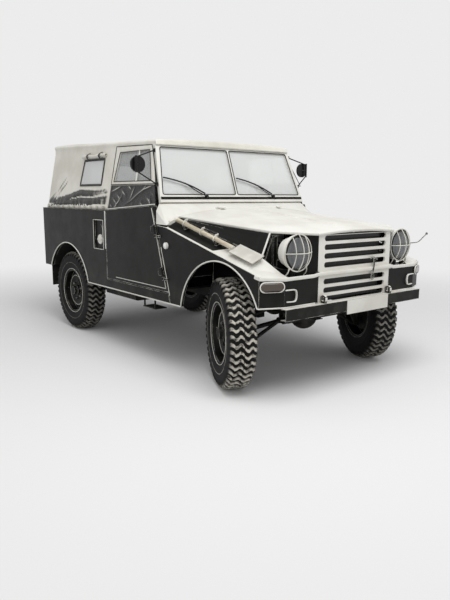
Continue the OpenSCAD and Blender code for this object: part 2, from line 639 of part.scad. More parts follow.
module tow_hitch() difference() {
  union() {
    box([x_rear - 60, -55, hitch_z], [x_rail_r - fit, 55, hitch_z + hitch_h]);
    translate([hitch_x, 0, hitch_z]) cylinder(h = hitch_h, r = tow_pin_r + 22);
    box([hitch_x, -38, hitch_z], [x_rear - 50, 38, hitch_z + hitch_h]);
  }
  box([hitch_x - 60, -60, hitch_z + 25], [x_rear - 58, 60, hitch_z + hitch_h - 25]);
  translate([hitch_x, 0, hitch_z - 1]) cylinder(h = hitch_h + 2, r = tow_pin_r);
}

// ---- Bonnet ----
x_hinge = x_cowl + 4;
lip_x = x_nose + 6 + bonnet_t;
// Half width, edge height and crown of the bonnet's top at x.
function bonnet_w(x) = x < x_corner + 6 ? lerp(696, 622, (x - x_hinge) / (x_corner + 6 - x_hinge))
  : lerp(622, nose_hw + 14, (x - x_corner - 6) / (lip_x - x_corner - 6));
function bonnet_edge(x) = lookup(x, [[x_hinge, 1166], [x_hinge + 250, 1146], [x_corner, 1100],
  [lip_x, 1086]]);
function bonnet_crown(x) = lerp(56, 16, (x - x_hinge) / (x_nose - x_hinge));
bonnet_x = [x_hinge, x_hinge + 125, x_hinge + 250, x_hinge + 450, x_hinge + 650, x_corner + 6,
  x_corner + 100, lip_x - bonnet_t, lip_x];
bonnet_cols = 12;
function bonnet_row(x, d) = let (w = bonnet_w(x) - d, e = bonnet_edge(x)) concat(
  [[x - (x > x_nose ? d : 0), w, e - 16]],
  [for (j = [0 : bonnet_cols]) let (t = 1 - 2 * j / bonnet_cols)
    [x - (x > x_nose ? d : 0), t * w, e + bonnet_crown(x) * (1 - pow(abs(t), 2.2)) - d]],
  [[x - (x > x_nose ? d : 0), -w, e - 16]]);
side_x = [x_hinge, x_hinge + 250, x_hinge + 450, x_hinge + 650, x_corner + 6];
function side_row(x, d) = [
  [x, wing_in(x) + 6 - d, wing_top(x, wing_in(x)) + 5],
  [x, bonnet_w(x) - d, bonnet_edge(x) - 8]];
module bonnet() color(paint) union() {
  sheet([for (x = bonnet_x) bonnet_row(x, 0)], [for (x = bonnet_x) bonnet_row(x, bonnet_t)]);
  both() {
    sheet([for (x = side_x) side_row(x, 0)], [for (x = side_x) side_row(x, bonnet_t)]);
    bonnet_hinge(288, 312, pin_x + 1, pin_x + 38);
  }
}

// ---- Doors ----
door_hinges = [750, 1063];
hinge_y = hw + 15;
hinge_r = 9;
// Point on the door's hinge line at height z.
function hinge_at(z) = [edge_x(z) - 2, hinge_y, z];
// The half of a door hinge that the wing carries, just under the door's own half.
module hinge_lug(z) {
  bar(hinge_at(z - 58), hinge_at(z - 36 - fit), hinge_r);
  box([edge_x(z - 48) - 2, hinge_y - hinge_r, z - 56], [edge_x(z - 48) + 40, hinge_y - 1, z - 40]);
  box([edge_x(z - 48) + 2 * door_gap + 4, hw - 2, z - 56], [edge_x(z - 48) + 40, hinge_y - 1, z - 40]);
}
// The door sinks at its lower front corner as it opens, because its hinges lean: its skin is
// trimmed there, and the part behind the skin stops door_lap higher.
door_skin = 10;
door_lap = 14;
module door(s) color(paint) on_side(s) union() {
  along_y(hw - door_skin, hw) polygon([
    [x_door_r, door_z], [edge_x(door_z) - 60, door_z], [edge_x(door_z + 5), door_z + 5],
    [edge_x(belt_z + belt_rise), belt_z + belt_rise], [x_door_r, belt_z]
  ]);
  along_y(hw - door_t, hw - door_skin) polygon([
    [x_door_r, door_z + door_lap], [edge_x(door_z + door_lap), door_z + door_lap],
    [edge_x(belt_z + belt_rise), belt_z + belt_rise], [x_door_r, belt_z]
  ]);
  for (z = door_hinges) {
    bar(hinge_at(z - 36), hinge_at(z + 36), hinge_r);
    box([edge_x(z) - 58, hw - 1, z - 26], [edge_x(z) - 6, hinge_y - 1, z + 26]);
  }
}
door_rim = 46;
top_u = up(roof_front_z - skirt - 8);
function screen_x(u) = ws_back(belt_z + u * cos(lean)) - 6;
pane_u = 246;
// Outline of the door's window, shrunk by d all round.
module door_window(d) polygon([
  [x_door_r + door_rim + d, pane_u + d], [screen_x(pane_u) - door_rim - d, pane_u + d],
  [screen_x(top_u - door_rim) - door_rim - d, top_u - door_rim - d],
    [x_door_r + door_rim + 40 + d, top_u - door_rim - d]
]);
module door_top(s) color(canvas) leaning(s, 0, 16) difference() {
  polygon([[x_door_r, 3.8], [screen_x(56), 56], [screen_x(top_u), top_u],
    [x_door_r, up(roof_edge_z(x_door_r) - skirt - 8)]]);
  door_window(0);
}
module door_pane(s) color("#b9c4c6", 0.4) leaning(s, 6, 9) door_window(fit);
spare_z = 1005;
disc_in = 22;
bolt_hole_r = 56;
spare_reach = spare_gap + tyre_w / 2 + disc_in - fit;
module rear_door() color(paint) union() {
  box([x_rear, -rear_door_hw, rear_door_z], [x_rear + wall_t, rear_door_hw, belt_z - 6]);
  disc_x(x_rear - spare_reach, 0, spare_z, spare_reach + 1, 78);
  disc_x(x_rear - spare_reach - 24, 0, spare_z, 26, bolt_hole_r - 2);
  for (z = rear_hinges) {
    translate([rear_pin_x, rear_pin_y, z - 45]) cylinder(h = 90, r = 8);
    box([x_rear - 12, -rear_door_hw - 1, z - 30], [x_rear + 1, -rear_door_hw + 60, z + 30]);
  }
}
module spare_pose() translate([x_rear - spare_gap - tyre_w / 2, 0, spare_z]) rotate([0, 0, 90]) children();

// ---- Wheels ----
th = tyre_w / 2;
// Cross-section of the tyre: radius against the distance from its centre plane.
module tyre() color(black) rotate([90, 0, 0]) rotate_extrude($fn = 96) polygon([
  [rim_r, -th + 24], [rim_r + 26, -th + 10], [rim_r + 84, -th], [tyre_r - 34, -th + 6],
    [tyre_r - 10, -th + 20],
  [tyre_r, -th + 46], [tyre_r, th - 46], [tyre_r - 10, th - 20], [tyre_r - 34, th - 6], [rim_r + 84, th],
  [rim_r + 26, th - 10], [rim_r, th - 24]
]);
// The rim with its dished disc. Y points out of the car.
module rim() color(paint) difference() {
  rotate([-90, 0, 0]) rotate_extrude($fn = 96) {
    polygon([
      [rim_r - 8, -th + 18], [rim_r + 12, -th + 12], [rim_r + 12, -th + 17], [rim_r - fit, -th + 23.5],
      [rim_r - fit, th - 23.5], [rim_r + 12, th - 17], [rim_r + 12, th - 12], [rim_r - 8, th - 18]
    ]);
    polygon([
      [bolt_hole_r, disc_in], [140, disc_in], [150, disc_in + 2], [rim_r - 4, 6], [rim_r - 4, 15], [166, 38],
      [140, 44], [104, disc_in + 9], [bolt_hole_r, disc_in + 9]
    ]);
  }
  for (a = [0 : 45 : 315]) rotate([0, a, 0]) translate([178, 0, 0]) rotate([-90, 0, 0])
    cylinder(h = 60, r = 11);
}
// The brake drum and hub, which the rim's disc is bolted to.
module drum() rotate([-90, 0, 0]) rotate_extrude($fn = 96) polygon([
  [spindle_r + 0.5, -8], [44, -8], [44, 8], [140, 8], [140, -28], [150, -28], [150, 16],
  [130, disc_in - fit], [bolt_hole_r - 2, disc_in - fit], [bolt_hole_r - 2, disc_in + 30],
    [46, disc_in + 36],
  [40, disc_in + 62], [0, disc_in + 64], [0, kingpin_in - 8], [spindle_r + 0.5, kingpin_in - 8]
]);
module at_axle(x, s) { translate([x, s * track / 2, hub_z]) children(); }
// Turned with the steering about the kingpin.
module turned(s) translate([x_fa, s * kp_y, 0]) rotate([0, 0, -steer]) translate([-x_fa, -s * kp_y, 0])
  children();
module wheel_rim(x, s) {
  at_axle(x, s) on_side(s) rim();
  color(dark) at_axle(x, s) on_side(s) drum();
}
module wheel_tyre(x, s) at_axle(x, s) tyre();
module knuckle(s) color(dark) turned(s) on_side(s) union() {
  upright(x_fa, kp_y);
  bar([x_fa, kp_y, hub_z - 40], [x_fa - 120, kp_y - 24, hub_z - 40], 12);
}

chassis_frame();
suspension();
drive_train();
engine_block();
radiator();
exhaust();
fuel_tank();
floor_pan();
quarter_panel(-1);  // quarter_panel_right
quarter_panel(1);  // quarter_panel_left
rear_frame();
cowl();
dashboard();
front_wing(-1);  // front_wing_right
front_wing(1);  // front_wing_left
grille_panel();
front_bumper();
lamps();
windscreen_frame();
window_glass();
mirrors();
canopy();
canopy_bows();
seat_frames();
seat_cushions();
steering_column();
pioneer_tools();
mudflaps();
side_steps();
steering_wheel();
bonnet();
door(-1);  // door_right
door(1);  // door_left
door_top(-1);  // door_top_right
door_top(1);  // door_top_left
door_pane(-1);  // door_pane_right
door_pane(1);  // door_pane_left
rear_door();
spare_pose() rim();  // spare_rim
spare_pose() tyre();  // spare_tyre
knuckle(-1);  // knuckle_right
knuckle(1);  // knuckle_left
turned(-1) wheel_rim(x_fa, -1);  // rim_front_right
turned(1) wheel_rim(x_fa, 1);  // rim_front_left
wheel_rim(x_ra, -1);  // rim_rear_right
wheel_rim(x_ra, 1);  // rim_rear_left
turned(-1) wheel_tyre(x_fa, -1);  // tyre_front_right
turned(1) wheel_tyre(x_fa, 1);  // tyre_front_left
wheel_tyre(x_ra, -1);  // tyre_rear_right
wheel_tyre(x_ra, 1);  // tyre_rear_left
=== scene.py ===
# %% [markdown]
# Army 4x4 car with a canvas top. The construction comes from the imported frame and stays
# as it is. This lesson gives every panel its finish and adds what a drawing office leaves
# to the workshop: cloth, rubber, wire, glass, seams and fastenings. Each step says what
# the real thing is, how it could be made in Blender, and why it is made this way here.

# %% Load the frame
import math

import bmesh
import bpy
import numpy as np
from mathutils import Matrix, Vector
from mathutils.bvhtree import BVHTree


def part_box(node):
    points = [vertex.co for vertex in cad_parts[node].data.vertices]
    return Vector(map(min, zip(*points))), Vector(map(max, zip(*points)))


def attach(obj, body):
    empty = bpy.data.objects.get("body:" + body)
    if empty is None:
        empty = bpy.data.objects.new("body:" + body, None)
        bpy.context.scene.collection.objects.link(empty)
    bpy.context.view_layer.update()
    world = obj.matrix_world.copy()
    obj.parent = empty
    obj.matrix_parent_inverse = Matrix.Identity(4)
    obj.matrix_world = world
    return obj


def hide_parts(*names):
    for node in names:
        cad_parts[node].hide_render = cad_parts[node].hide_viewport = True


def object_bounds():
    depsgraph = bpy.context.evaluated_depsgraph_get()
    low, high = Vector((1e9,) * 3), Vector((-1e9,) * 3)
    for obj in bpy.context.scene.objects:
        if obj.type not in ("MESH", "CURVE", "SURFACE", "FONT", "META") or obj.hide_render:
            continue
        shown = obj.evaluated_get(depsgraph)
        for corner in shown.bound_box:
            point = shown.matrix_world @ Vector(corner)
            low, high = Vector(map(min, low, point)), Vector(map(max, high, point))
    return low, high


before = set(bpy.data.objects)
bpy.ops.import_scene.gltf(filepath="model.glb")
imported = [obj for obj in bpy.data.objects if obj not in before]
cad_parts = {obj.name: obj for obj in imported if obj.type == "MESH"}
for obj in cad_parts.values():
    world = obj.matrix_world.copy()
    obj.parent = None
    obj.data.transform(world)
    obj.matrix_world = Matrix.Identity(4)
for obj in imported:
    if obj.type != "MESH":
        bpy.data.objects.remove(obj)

CAD_BOX = [list(corner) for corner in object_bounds()]
SIDES = {"right": -1, "left": 1}
print("construction box", [[round(v, 3) for v in corner] for corner in CAD_BOX])

# %% [markdown]
# ## Arrays first
# A surface here is a function of two parameters, worked out for the whole grid at once.
# The helpers below turn such grids into faces, carry a profile along a path, spin one
# round an axis, or thicken an outline into a plate. Modelling by hand would give the same
# shapes, but a formula keeps its sizes where a reader can see them.

# %% Grids, sweeps, lathes and plates
def unit(vectors):
    """Each vector divided by its own length."""
    vectors = np.asarray(vectors, float)
    return vectors / np.linalg.norm(vectors, axis=-1, keepdims=True)


def grid_faces(rows, cols, close_rows=False, close_cols=False):
    """Quads between neighbouring points of a rows by cols grid, numbered row after row."""
    i, j = np.meshgrid(
        np.arange(rows if close_rows else rows - 1),
        np.arange(cols if close_cols else cols - 1), indexing="ij")
    below, beside = (i + 1) % rows, (j + 1) % cols
    corners = [i * cols + j, below * cols + j, below * cols + beside, i * cols + beside]
    return np.stack(corners, -1).reshape(-1, 4)


def put(points, origin, x, y, z=None):
    """Local (a, b, c) becomes origin + a x + b y + c z, where z is x cross y if left out."""
    z = np.cross(x, y) if z is None else z
    return np.asarray(origin, float) + np.asarray(points, float) @ np.array([x, y, z], float)


def stations(corners, count):
    """Points along a closed outline: count on each of its sides, or one count for each."""
    counts = np.broadcast_to(count, len(corners))
    return np.concatenate([np.linspace(a, b, n, endpoint=False)
                           for a, b, n in zip(corners, np.roll(corners, -1, 0), counts)])


def circle(radius, sides=12, squash=1.0):
    """Points at equal angles round an ellipse that is squash times as high as wide."""
    angle = 2 * np.pi * np.arange(sides) / sides
    return np.stack([radius * np.cos(angle), squash * radius * np.sin(angle)], -1)


def round_box(width, height, radius, steps=4):
    """A rectangle whose corners are quarter circles, listed anticlockwise."""
    angle = np.pi / 2 * (np.arange(4)[:, None] + np.linspace(0, 1, steps)[None])
    cx = (width / 2 - radius) * np.array([1, -1, -1, 1])[:, None]
    cy = (height / 2 - radius) * np.array([1, 1, -1, -1])[:, None]
    return np.stack([cx + radius * np.cos(angle), cy + radius * np.sin(angle)], -1).reshape(-1, 2)


def smooth_path(points, count=24, closed=False):
    """A curve through given points: each stretch is the cubic that leaves along the chord
    of its neighbours (Catmull and Rom's rule)."""
    p = np.asarray(points, float)
    n = len(p)
    t = np.linspace(0, n if closed else n - 1, count, endpoint=not closed)
    i = np.minimum(t.astype(int), n - 1 if closed else n - 2)
    f = (t - i)[:, None]
    if closed:
        a, b, c, d = p[(i - 1) % n], p[i % n], p[(i + 1) % n], p[(i + 2) % n]
    else:
        a, b, c, d = p[np.maximum(i - 1, 0)], p[i], p[i + 1], p[np.minimum(i + 2, n - 1)]
    return 0.5 * (2 * b + (c - a) * f + (2 * a - 5 * b + 4 * c - d) * f**2 + (3 * b - 3 * c + d - a) * f**3)


def sweep(path, outline, up=(0, 0, 1), closed=False, size=1.0):
    """The outline's (a, b) goes a along up cross tangent and b along tangent cross side,
    at every point of the path. size scales it along the way."""
    path = np.asarray(path, float)
    ahead = np.roll(path, -1, 0) - np.roll(path, 1, 0) if closed else np.gradient(path, axis=0)
    tangent = unit(ahead)
    side = unit(np.cross(np.broadcast_to(np.asarray(up, float), tangent.shape), tangent))
    over = np.cross(tangent, side)
    n, m = len(path), len(outline)
    size = np.broadcast_to(size, (n,))[:, None, None]
    flat = np.asarray(outline, float)
    points = path[:, None] + size * (flat[None, :, :1] * side[:, None] + flat[None, :, 1:] * over[:, None])
    faces = [grid_faces(n, m, closed, True)]
    if not closed:
        faces += [np.arange(m)[None, ::-1], (n - 1) * m + np.arange(m)[None]]
    return points.reshape(-1, 3), faces


def tube(path, radius, sides=10, up=(0, 0, 1), closed=False):
    """A round bar along the path."""
    return sweep(path, circle(radius, sides), up, closed)


def lathe(profile, origin, axis, sides=32, squash=1.0):
    """The profile's (radius, distance) points spun round an axis through origin."""
    axis = unit(axis)
    first = unit(np.cross(axis, (0, 0, 1) if abs(axis[2]) < 0.9 else (1, 0, 0)))
    second = np.cross(axis, first)
    angle = 2 * np.pi * np.arange(sides) / sides
    ring = np.cos(angle)[:, None] * first + squash * np.sin(angle)[:, None] * second
    profile = np.asarray(profile, float)
    points = np.asarray(origin, float) + profile[:, None, :1] * ring[None] + profile[:, None, 1:] * axis
    return points.reshape(-1, 3), [grid_faces(len(profile), sides, False, True)]


def inset(outline, d):
    """Each corner moved in by d, square to both of its sides."""
    outline = np.asarray(outline, float)
    along = unit(np.roll(outline, -1, 0) - outline)
    inward = np.stack([-along[:, 1], along[:, 0]], -1)
    before = np.roll(inward, 1, 0)
    middle = unit(inward + before)
    return outline + middle * d / np.maximum(0.3, (middle * inward).sum(-1, keepdims=True))


def plate(outline, thickness, origin, x, y, bevel=0.0015):
    """An anticlockwise outline in the x, y plane, thickened along x cross y, its edges eased."""
    rings = [(bevel, 0.0), (0.0, bevel), (0.0, thickness - bevel), (bevel, thickness)]
    flat = [np.column_stack([inset(outline, d), np.full(len(outline), h)]) for d, h in rings]
    n = len(outline)
    faces = [grid_faces(4, n, False, True), np.arange(n)[None, ::-1], 3 * n + np.arange(n)[None]]
    return put(np.concatenate(flat), origin, unit(x), unit(y)), faces


def repeat(shell, origins, x, y, z):
    """A copy of a small shell at every origin, on axes that may differ from copy to copy."""
    points, faces = shell
    origins = np.asarray(origins, float)
    axes = np.stack([np.broadcast_to(v, origins.shape) for v in (x, y, z)], 1)
    copies = origins[:, None] + np.einsum("pk,nkc->npc", points, axes)
    start = (np.arange(len(origins)) * len(points))[:, None, None]
    return copies.reshape(-1, 3), [(f[None] + start).reshape(-1, f.shape[1]) for f in faces]


print("helpers ready")

# %% [markdown]
# ## From arrays to pieces
# A piece is one object that rides on one body of the frame. Its shells are joined, doubles
# are merged, closed shells get their faces turned outwards, and edges sharper than an angle
# stay sharp. Reading corners back from the construction keeps every piece in its place.

# %% Make a piece, and read the frame
def piece(name, shells, material, body="chassis", sharp=38, sheet=False, bevel=0.0):
    """Joins shells of (points, faces) into one named object, finished and riding on a body."""
    starts = np.cumsum([0] + [len(points) for points, _ in shells])
    faces = [face for (_, groups), start in zip(shells, starts)
             for group in groups for face in (group + start).tolist()]
    mesh = bpy.data.meshes.new(name)
    mesh.from_pydata(np.concatenate([points for points, _ in shells]).tolist(), [], faces)
    work = bmesh.new()
    work.from_mesh(mesh)
    bmesh.ops.remove_doubles(work, verts=work.verts, dist=1e-6)
    if not sheet:
        bmesh.ops.recalc_face_normals(work, faces=work.faces)
    work.to_mesh(mesh)
    work.free()
    mesh.polygons.foreach_set("use_smooth", [True] * len(mesh.polygons))
    mesh.set_sharp_from_angle(angle=math.radians(sharp))
    made = bpy.data.objects.new(name, mesh)
    bpy.context.scene.collection.objects.link(made)
    mesh.materials.append(material)
    if bevel:
        eased = made.modifiers.new("eased edges", "BEVEL")
        eased.width = bevel
        eased.segments = 2
        eased.limit_method = "ANGLE"
    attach(made, body)
    print(f"{name}: {len(mesh.vertices)} points, {len(mesh.polygons)} faces")
    return made


def node_points(node):
    """The corners of a node's mesh, one row each."""
    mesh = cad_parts[node].data
    points = np.zeros(3 * len(mesh.vertices), np.float32)
    mesh.vertices.foreach_get("co", points)
    return points.reshape(-1, 3).astype(float)


def corner(points, *direction):
    """The point that lies furthest along a direction."""
    return points[np.argmax(points @ np.array(direction, float))]


X, Y, Z = np.eye(3)

# %% [markdown]
# ## The camera and a plain studio
# The car stands on a pale floor that fades into a pale surround, under a large soft lamp
# and an even sky. The surround is seen by the camera and by gloss and glass, while the
# light on the car stays at a plain level, so colours come out about as written.

# %% Camera
EYE = Vector((4.381, -3.180, 1.324))
YAW, PITCH, ROLL = (math.radians(a) for a in (141.61, -10.15, 0.23))
LENS = 35.26

ahead = Vector((math.cos(PITCH) * math.cos(YAW), math.cos(PITCH) * math.sin(YAW), math.sin(PITCH)))
camera = bpy.data.objects.new("camera", bpy.data.cameras.new("camera"))
camera.data.lens = LENS
camera.data.sensor_width = 36
camera.matrix_world = (Matrix.Translation(EYE) @ ahead.to_track_quat("-Z", "Y").to_matrix().to_4x4()
        @ Matrix.Rotation(ROLL, 4, "Z"))
bpy.context.scene.collection.objects.link(camera)
bpy.context.scene.camera = camera
print("camera at", tuple(EYE), "lens", LENS)

# %% Colours and nodes
def colour(code):
    """A hex sRGB colour as linear values: each is (v + 0.055) / 1.055 to the power 2.4, or
    v / 12.92 when it is very dark."""
    srgb = np.array([int(code[i:i + 2], 16) for i in (1, 3, 5)]) / 255
    linear = np.where(srgb <= 0.04045, srgb / 12.92, ((srgb + 0.055) / 1.055) ** 2.4)
    return (*linear.tolist(), 1.0)


def add(tree, kind, inputs=None, **settings):
    """Adds a node. settings are its own properties; inputs are values, or sockets to link."""
    made = tree.nodes.new(kind)
    for name, value in settings.items():
        setattr(made, name, value)
    for name, value in (inputs or {}).items():
        if isinstance(value, bpy.types.NodeSocket):
            tree.links.new(value, made.inputs[name])
        else:
            made.inputs[name].default_value = value
    return made


def new_material(name, code, roughness, **sockets):
    """A material with one shader. Its plain numbers are set on the shader's own sockets."""
    made = bpy.data.materials.new(name)
    made.use_nodes = True
    made.node_tree.nodes.clear()
    shader = add(made.node_tree, "ShaderNodeBsdfPrincipled",
                 {"Base Color": colour(code), "Roughness": roughness, **sockets})
    add(made.node_tree, "ShaderNodeOutputMaterial", {"Surface": shader.outputs["BSDF"]})
    return made, made.node_tree, shader


def ramp(tree, value, low, high):
    """Goes from 0 at low to 1 at high, smoothly, and stays there."""
    return add(tree, "ShaderNodeMapRange", {"Value": value, "From Min": low, "From Max": high},
               interpolation_type="SMOOTHSTEP").outputs[0]


# %% Floor, sky and lamp
BACKGROUND = colour("#ececec")
FLOOR_COLOUR = colour("#e6e6e6")
LAMP_WATTS = 215
SKY_LIGHT = 0.62
SHADOW_REACH, FADE_END = 2.4, 7.0
FLOOR_RADIUS = 40


def make_world():
    """Even light from all round; the camera, gloss and glass see the pale surround."""
    world = bpy.data.worlds.new("pale studio")
    bpy.context.scene.world = world
    world.use_nodes = True
    tree = world.node_tree
    tree.nodes.clear()
    path = add(tree, "ShaderNodeLightPath")
    seen = add(tree, "ShaderNodeMath", {0: path.outputs["Is Camera Ray"], 1: path.outputs["Is Glossy Ray"]},
               operation="MAXIMUM")
    seen = add(tree, "ShaderNodeMath", {0: seen.outputs[0], 1: path.outputs["Is Transmission Ray"]},
               operation="MAXIMUM")
    light = add(tree, "ShaderNodeBackground", {"Color": (1, 1, 1, 1), "Strength": SKY_LIGHT})
    view = add(tree, "ShaderNodeBackground", {"Color": BACKGROUND, "Strength": 1.0})
    both = add(tree, "ShaderNodeMixShader", {0: seen.outputs[0], 1: light.outputs[0], 2: view.outputs[0]})
    add(tree, "ShaderNodeOutputWorld", {"Surface": both.outputs[0]})


def make_floor():
    """A disc that takes the car's shadow and fades to the surround's colour further out."""
    work = bmesh.new()
    bmesh.ops.create_circle(work, cap_ends=True, segments=96, radius=FLOOR_RADIUS)
    mesh = bpy.data.meshes.new("floor")
    work.to_mesh(mesh)
    work.free()
    floor = bpy.data.objects.new("floor", mesh)
    bpy.context.scene.collection.objects.link(floor)
    made = bpy.data.materials.new("matt studio floor")
    made.use_nodes = True
    tree = made.node_tree
    tree.nodes.clear()
    where = add(tree, "ShaderNodeTexCoord")
    distance = add(tree, "ShaderNodeVectorMath", {0: where.outputs["Object"]}, operation="LENGTH")
    fade = ramp(tree, distance.outputs["Value"], SHADOW_REACH, FADE_END)
    matt = add(tree, "ShaderNodeBsdfDiffuse", {"Color": FLOOR_COLOUR, "Roughness": 0.5})
    far = add(tree, "ShaderNodeEmission", {"Color": BACKGROUND, "Strength": 1.0})
    both = add(tree, "ShaderNodeMixShader", {0: fade, 1: matt.outputs[0], 2: far.outputs[0]})
    add(tree, "ShaderNodeOutputMaterial", {"Surface": both.outputs[0]})
    mesh.materials.append(made)


def make_lamp(name, place, aim, size, watts):
    """A square soft lamp at a place, turned to a point."""
    lamp = bpy.data.objects.new(name, bpy.data.lights.new(name, "AREA"))
    lamp.data.size = size
    lamp.data.energy = watts
    lamp.location = place
    lamp.rotation_mode = "QUATERNION"
    lamp.rotation_quaternion = (Vector(aim) - Vector(place)).to_track_quat("-Z", "Y")
    bpy.context.scene.collection.objects.link(lamp)


make_world()
make_floor()
make_lamp("key lamp", (3.2, -1.2, 5.6), (0.2, 0, 0.9), 4.0, LAMP_WATTS)
bpy.context.scene.view_settings.view_transform = "Standard"
print("studio ready")

# %% [markdown]
# ## Enamel paint
# The panels are pressed steel with a brushed coat of satin military enamel: dark on the
# sides, pale on the windscreen, grille and upper faces, and that pale is painted light on the
# lit faces. Real enamel shows a faint orange peel, slight fading and dust low down. A bevel
# node finds the edges: where the eased normal leaves the true one, a pale painted highlight shows.

# %% Enamel
DARK_ENAMEL, FADED_ENAMEL = "#090a08", "#10110e"
# The second pale tone, also the colour of the painted edge highlight.
PALE_ENAMEL, CHALKED_AND_HIGHLIGHT = "#dddcd6", "#cfcdc5"
ROAD_DUST = "#6f6b62"
EDGE_MM = 7.0
PEEL_PER_M = 260


def noise(tree, where, scale, detail=3.0, roughness=0.55):
    """The value of a noise whose blotches are about 1 / scale metres across."""
    return add(tree, "ShaderNodeTexNoise", {"Vector": where, "Scale": scale, "Detail": detail,
            "Roughness": roughness}).outputs["Fac"]


def mix(tree, share, first, second):
    """Colour first where share is 0 and second where it is 1; each is a code or a socket."""
    ends = [colour(c) if isinstance(c, str) else c for c in (first, second)]
    made = add(tree, "ShaderNodeMix", data_type="RGBA")
    for index, value in zip((0, 6, 7), (share, *ends)):
        if isinstance(value, bpy.types.NodeSocket):
            tree.links.new(value, made.inputs[index])
        else:
            made.inputs[index].default_value = value
    return made.outputs[2]


def product(tree, *values):
    """All the values multiplied together."""
    total = values[0]
    for value in values[1:]:
        total = add(tree, "ShaderNodeMath", {0: total, 1: value}, operation="MULTIPLY").outputs[0]
    return total


def highlight_edges(tree, width_mm, where):
    """Painted highlight mask: 1 on edges within a width, broken up by a noise, and 0 elsewhere."""
    eased = add(tree, "ShaderNodeBevel", {"Radius": width_mm / 1000}, samples=6)
    true = add(tree, "ShaderNodeNewGeometry")
    match = add(tree, "ShaderNodeVectorMath", {0: eased.outputs[0], 1: true.outputs["Normal"]},
                operation="DOT_PRODUCT")
    edge = ramp(tree, match.outputs["Value"], 0.985, 0.90)
    return product(tree, edge, ramp(tree, noise(tree, where, 14), 0.32, 0.56))


def enamel(name, pale=None, edge_highlight=0.85, roughness=0.42):
    """Satin enamel over steel, dark, or pale where the rule says; the pale mostly stands for painted
    light on lit faces. pale(tree, place, normal) gives 0 to 1, from object coordinates and the
    object's own normals. Edges get a pale painted highlight."""
    made, tree, shader = new_material(name, DARK_ENAMEL, roughness, **{
        "Coat Weight": 0.04, "Coat Roughness": 0.3, "Specular IOR Level": 0.16})
    spot = add(tree, "ShaderNodeTexCoord")
    where = spot.outputs["Object"]
    place = add(tree, "ShaderNodeSeparateXYZ", {0: where}).outputs
    normal = add(tree, "ShaderNodeSeparateXYZ", {0: spot.outputs["Normal"]}).outputs
    fade = ramp(tree, noise(tree, where, 2.6), 0.35, 0.7)
    paint = mix(tree, fade, DARK_ENAMEL, FADED_ENAMEL)
    share = pale(tree, place, normal) if pale else None
    if share is not None:
        paint = mix(tree, share, paint, mix(tree, fade, PALE_ENAMEL, CHALKED_AND_HIGHLIGHT))
    dust = product(tree, ramp(tree, place[2], 0.78, 0.45), ramp(tree, noise(tree, where, 7), 0.4, 0.75), 0.16)
    paint = mix(tree, dust, paint, ROAD_DUST)
    # A pale painted highlight along the edges.
    worn = product(tree, highlight_edges(tree, EDGE_MM, where), edge_highlight)
    paint = mix(tree, worn, paint, CHALKED_AND_HIGHLIGHT)
    tree.links.new(paint, shader.inputs["Base Color"])
    rough = add(tree, "ShaderNodeMapRange", {"Value": noise(tree, where, 9), "To Min": roughness - 0.08,
            "To Max": roughness + 0.16}).outputs[0]
    tree.links.new(rough, shader.inputs["Roughness"])
    peel = add(tree, "ShaderNodeBump", {"Height": noise(tree, where, PEEL_PER_M, 2), "Strength": 0.12,
            "Distance": 0.0006})
    tree.links.new(peel.outputs[0], shader.inputs["Normal"])
    return made


def all_pale(tree, place, normal):
    """Every face."""
    return 1.0


def lit_tops(tree, place, normal):
    """Faces that look upwards, pale as painted light from above."""
    return ramp(tree, normal[2], 0.25, 0.35)


dark_enamel = enamel("satin enamel, dark")
# On the cowl, windscreen frame and bonnet top the pale enamel is painted light; on lips and edge lines it is
# a painted highlight.
pale_enamel = enamel("satin enamel, pale", all_pale, edge_highlight=0.0, roughness=0.5)
print("enamel ready")

# %% [markdown]
# ## Cotton duck
# The top is cut from heavy cotton duck, a plain weave of thick yarn proofed with wax. It
# is dull and slightly fuzzy, and darker in its folds with painted shade. The weave follows
# the cloth, so it reads the sheet's own map, in metres. The folds are real geometry, and the
# mesh keeps how much painted shade each point takes from them.

# %% Canvas
# The last colour is painted shade for the folds.
CANVAS, CANVAS_SHADE, FOLD_SHADE = "#dfddd4", "#c9c6bb", "#2a2a27"
YARN_MM = 3.2          # real duck has 0.8 mm yarn, drawn four times as coarse so that it shows


def woven(name, code, shade, painted_fold_shading, yarn_mm, roughness=0.92, sheen=0.25):
    """Plain weave: two sets of waves across the map, over and under each other."""
    made, tree, shader = new_material(name, code, roughness, **{"Sheen Weight": sheen, "Sheen Roughness": 0.5,
            "Specular IOR Level": 0.25})
    where = add(tree, "ShaderNodeTexCoord").outputs["Object"]
    cloth = add(tree, "ShaderNodeUVMap", uv_map="cloth").outputs[0]
    fold = add(tree, "ShaderNodeAttribute", attribute_name="fold").outputs["Fac"]
    threads = [add(tree, "ShaderNodeTexWave", {"Vector": cloth, "Scale": 2 * math.pi * 1000 / yarn_mm / 20},
                   bands_direction=way).outputs["Fac"] for way in ("X", "Y")]
    weave = add(tree, "ShaderNodeMath", {0: threads[0], 1: threads[1]}, operation="MAXIMUM").outputs[0]
    blotch = ramp(tree, noise(tree, where, 3.2, 5), 0.35, 0.72)
    base = mix(tree, blotch, code, shade)
    base = mix(tree, product(tree, weave, 0.12), base, shade)
    # The fold attribute mixes in painted light: shade in the canvas folds, a highlight on the creased panel's
    # crests.
    base = mix(tree, ramp(tree, fold, 0.15, 0.95), base, painted_fold_shading)
    tree.links.new(base, shader.inputs["Base Color"])
    bump = add(tree, "ShaderNodeBump", {"Height": weave, "Strength": 0.35, "Distance": 0.0008})
    slub = add(tree, "ShaderNodeBump", {"Height": noise(tree, where, 60, 4), "Strength": 0.3,
                                        "Distance": 0.002, "Normal": bump.outputs[0]})
    tree.links.new(slub.outputs[0], shader.inputs["Normal"])
    return made


canvas = woven("waxed cotton duck", CANVAS, CANVAS_SHADE, FOLD_SHADE, YARN_MM)
webbing = woven("cotton webbing", "#b9b5a6", "#8f8b7d", FOLD_SHADE, 2.4)


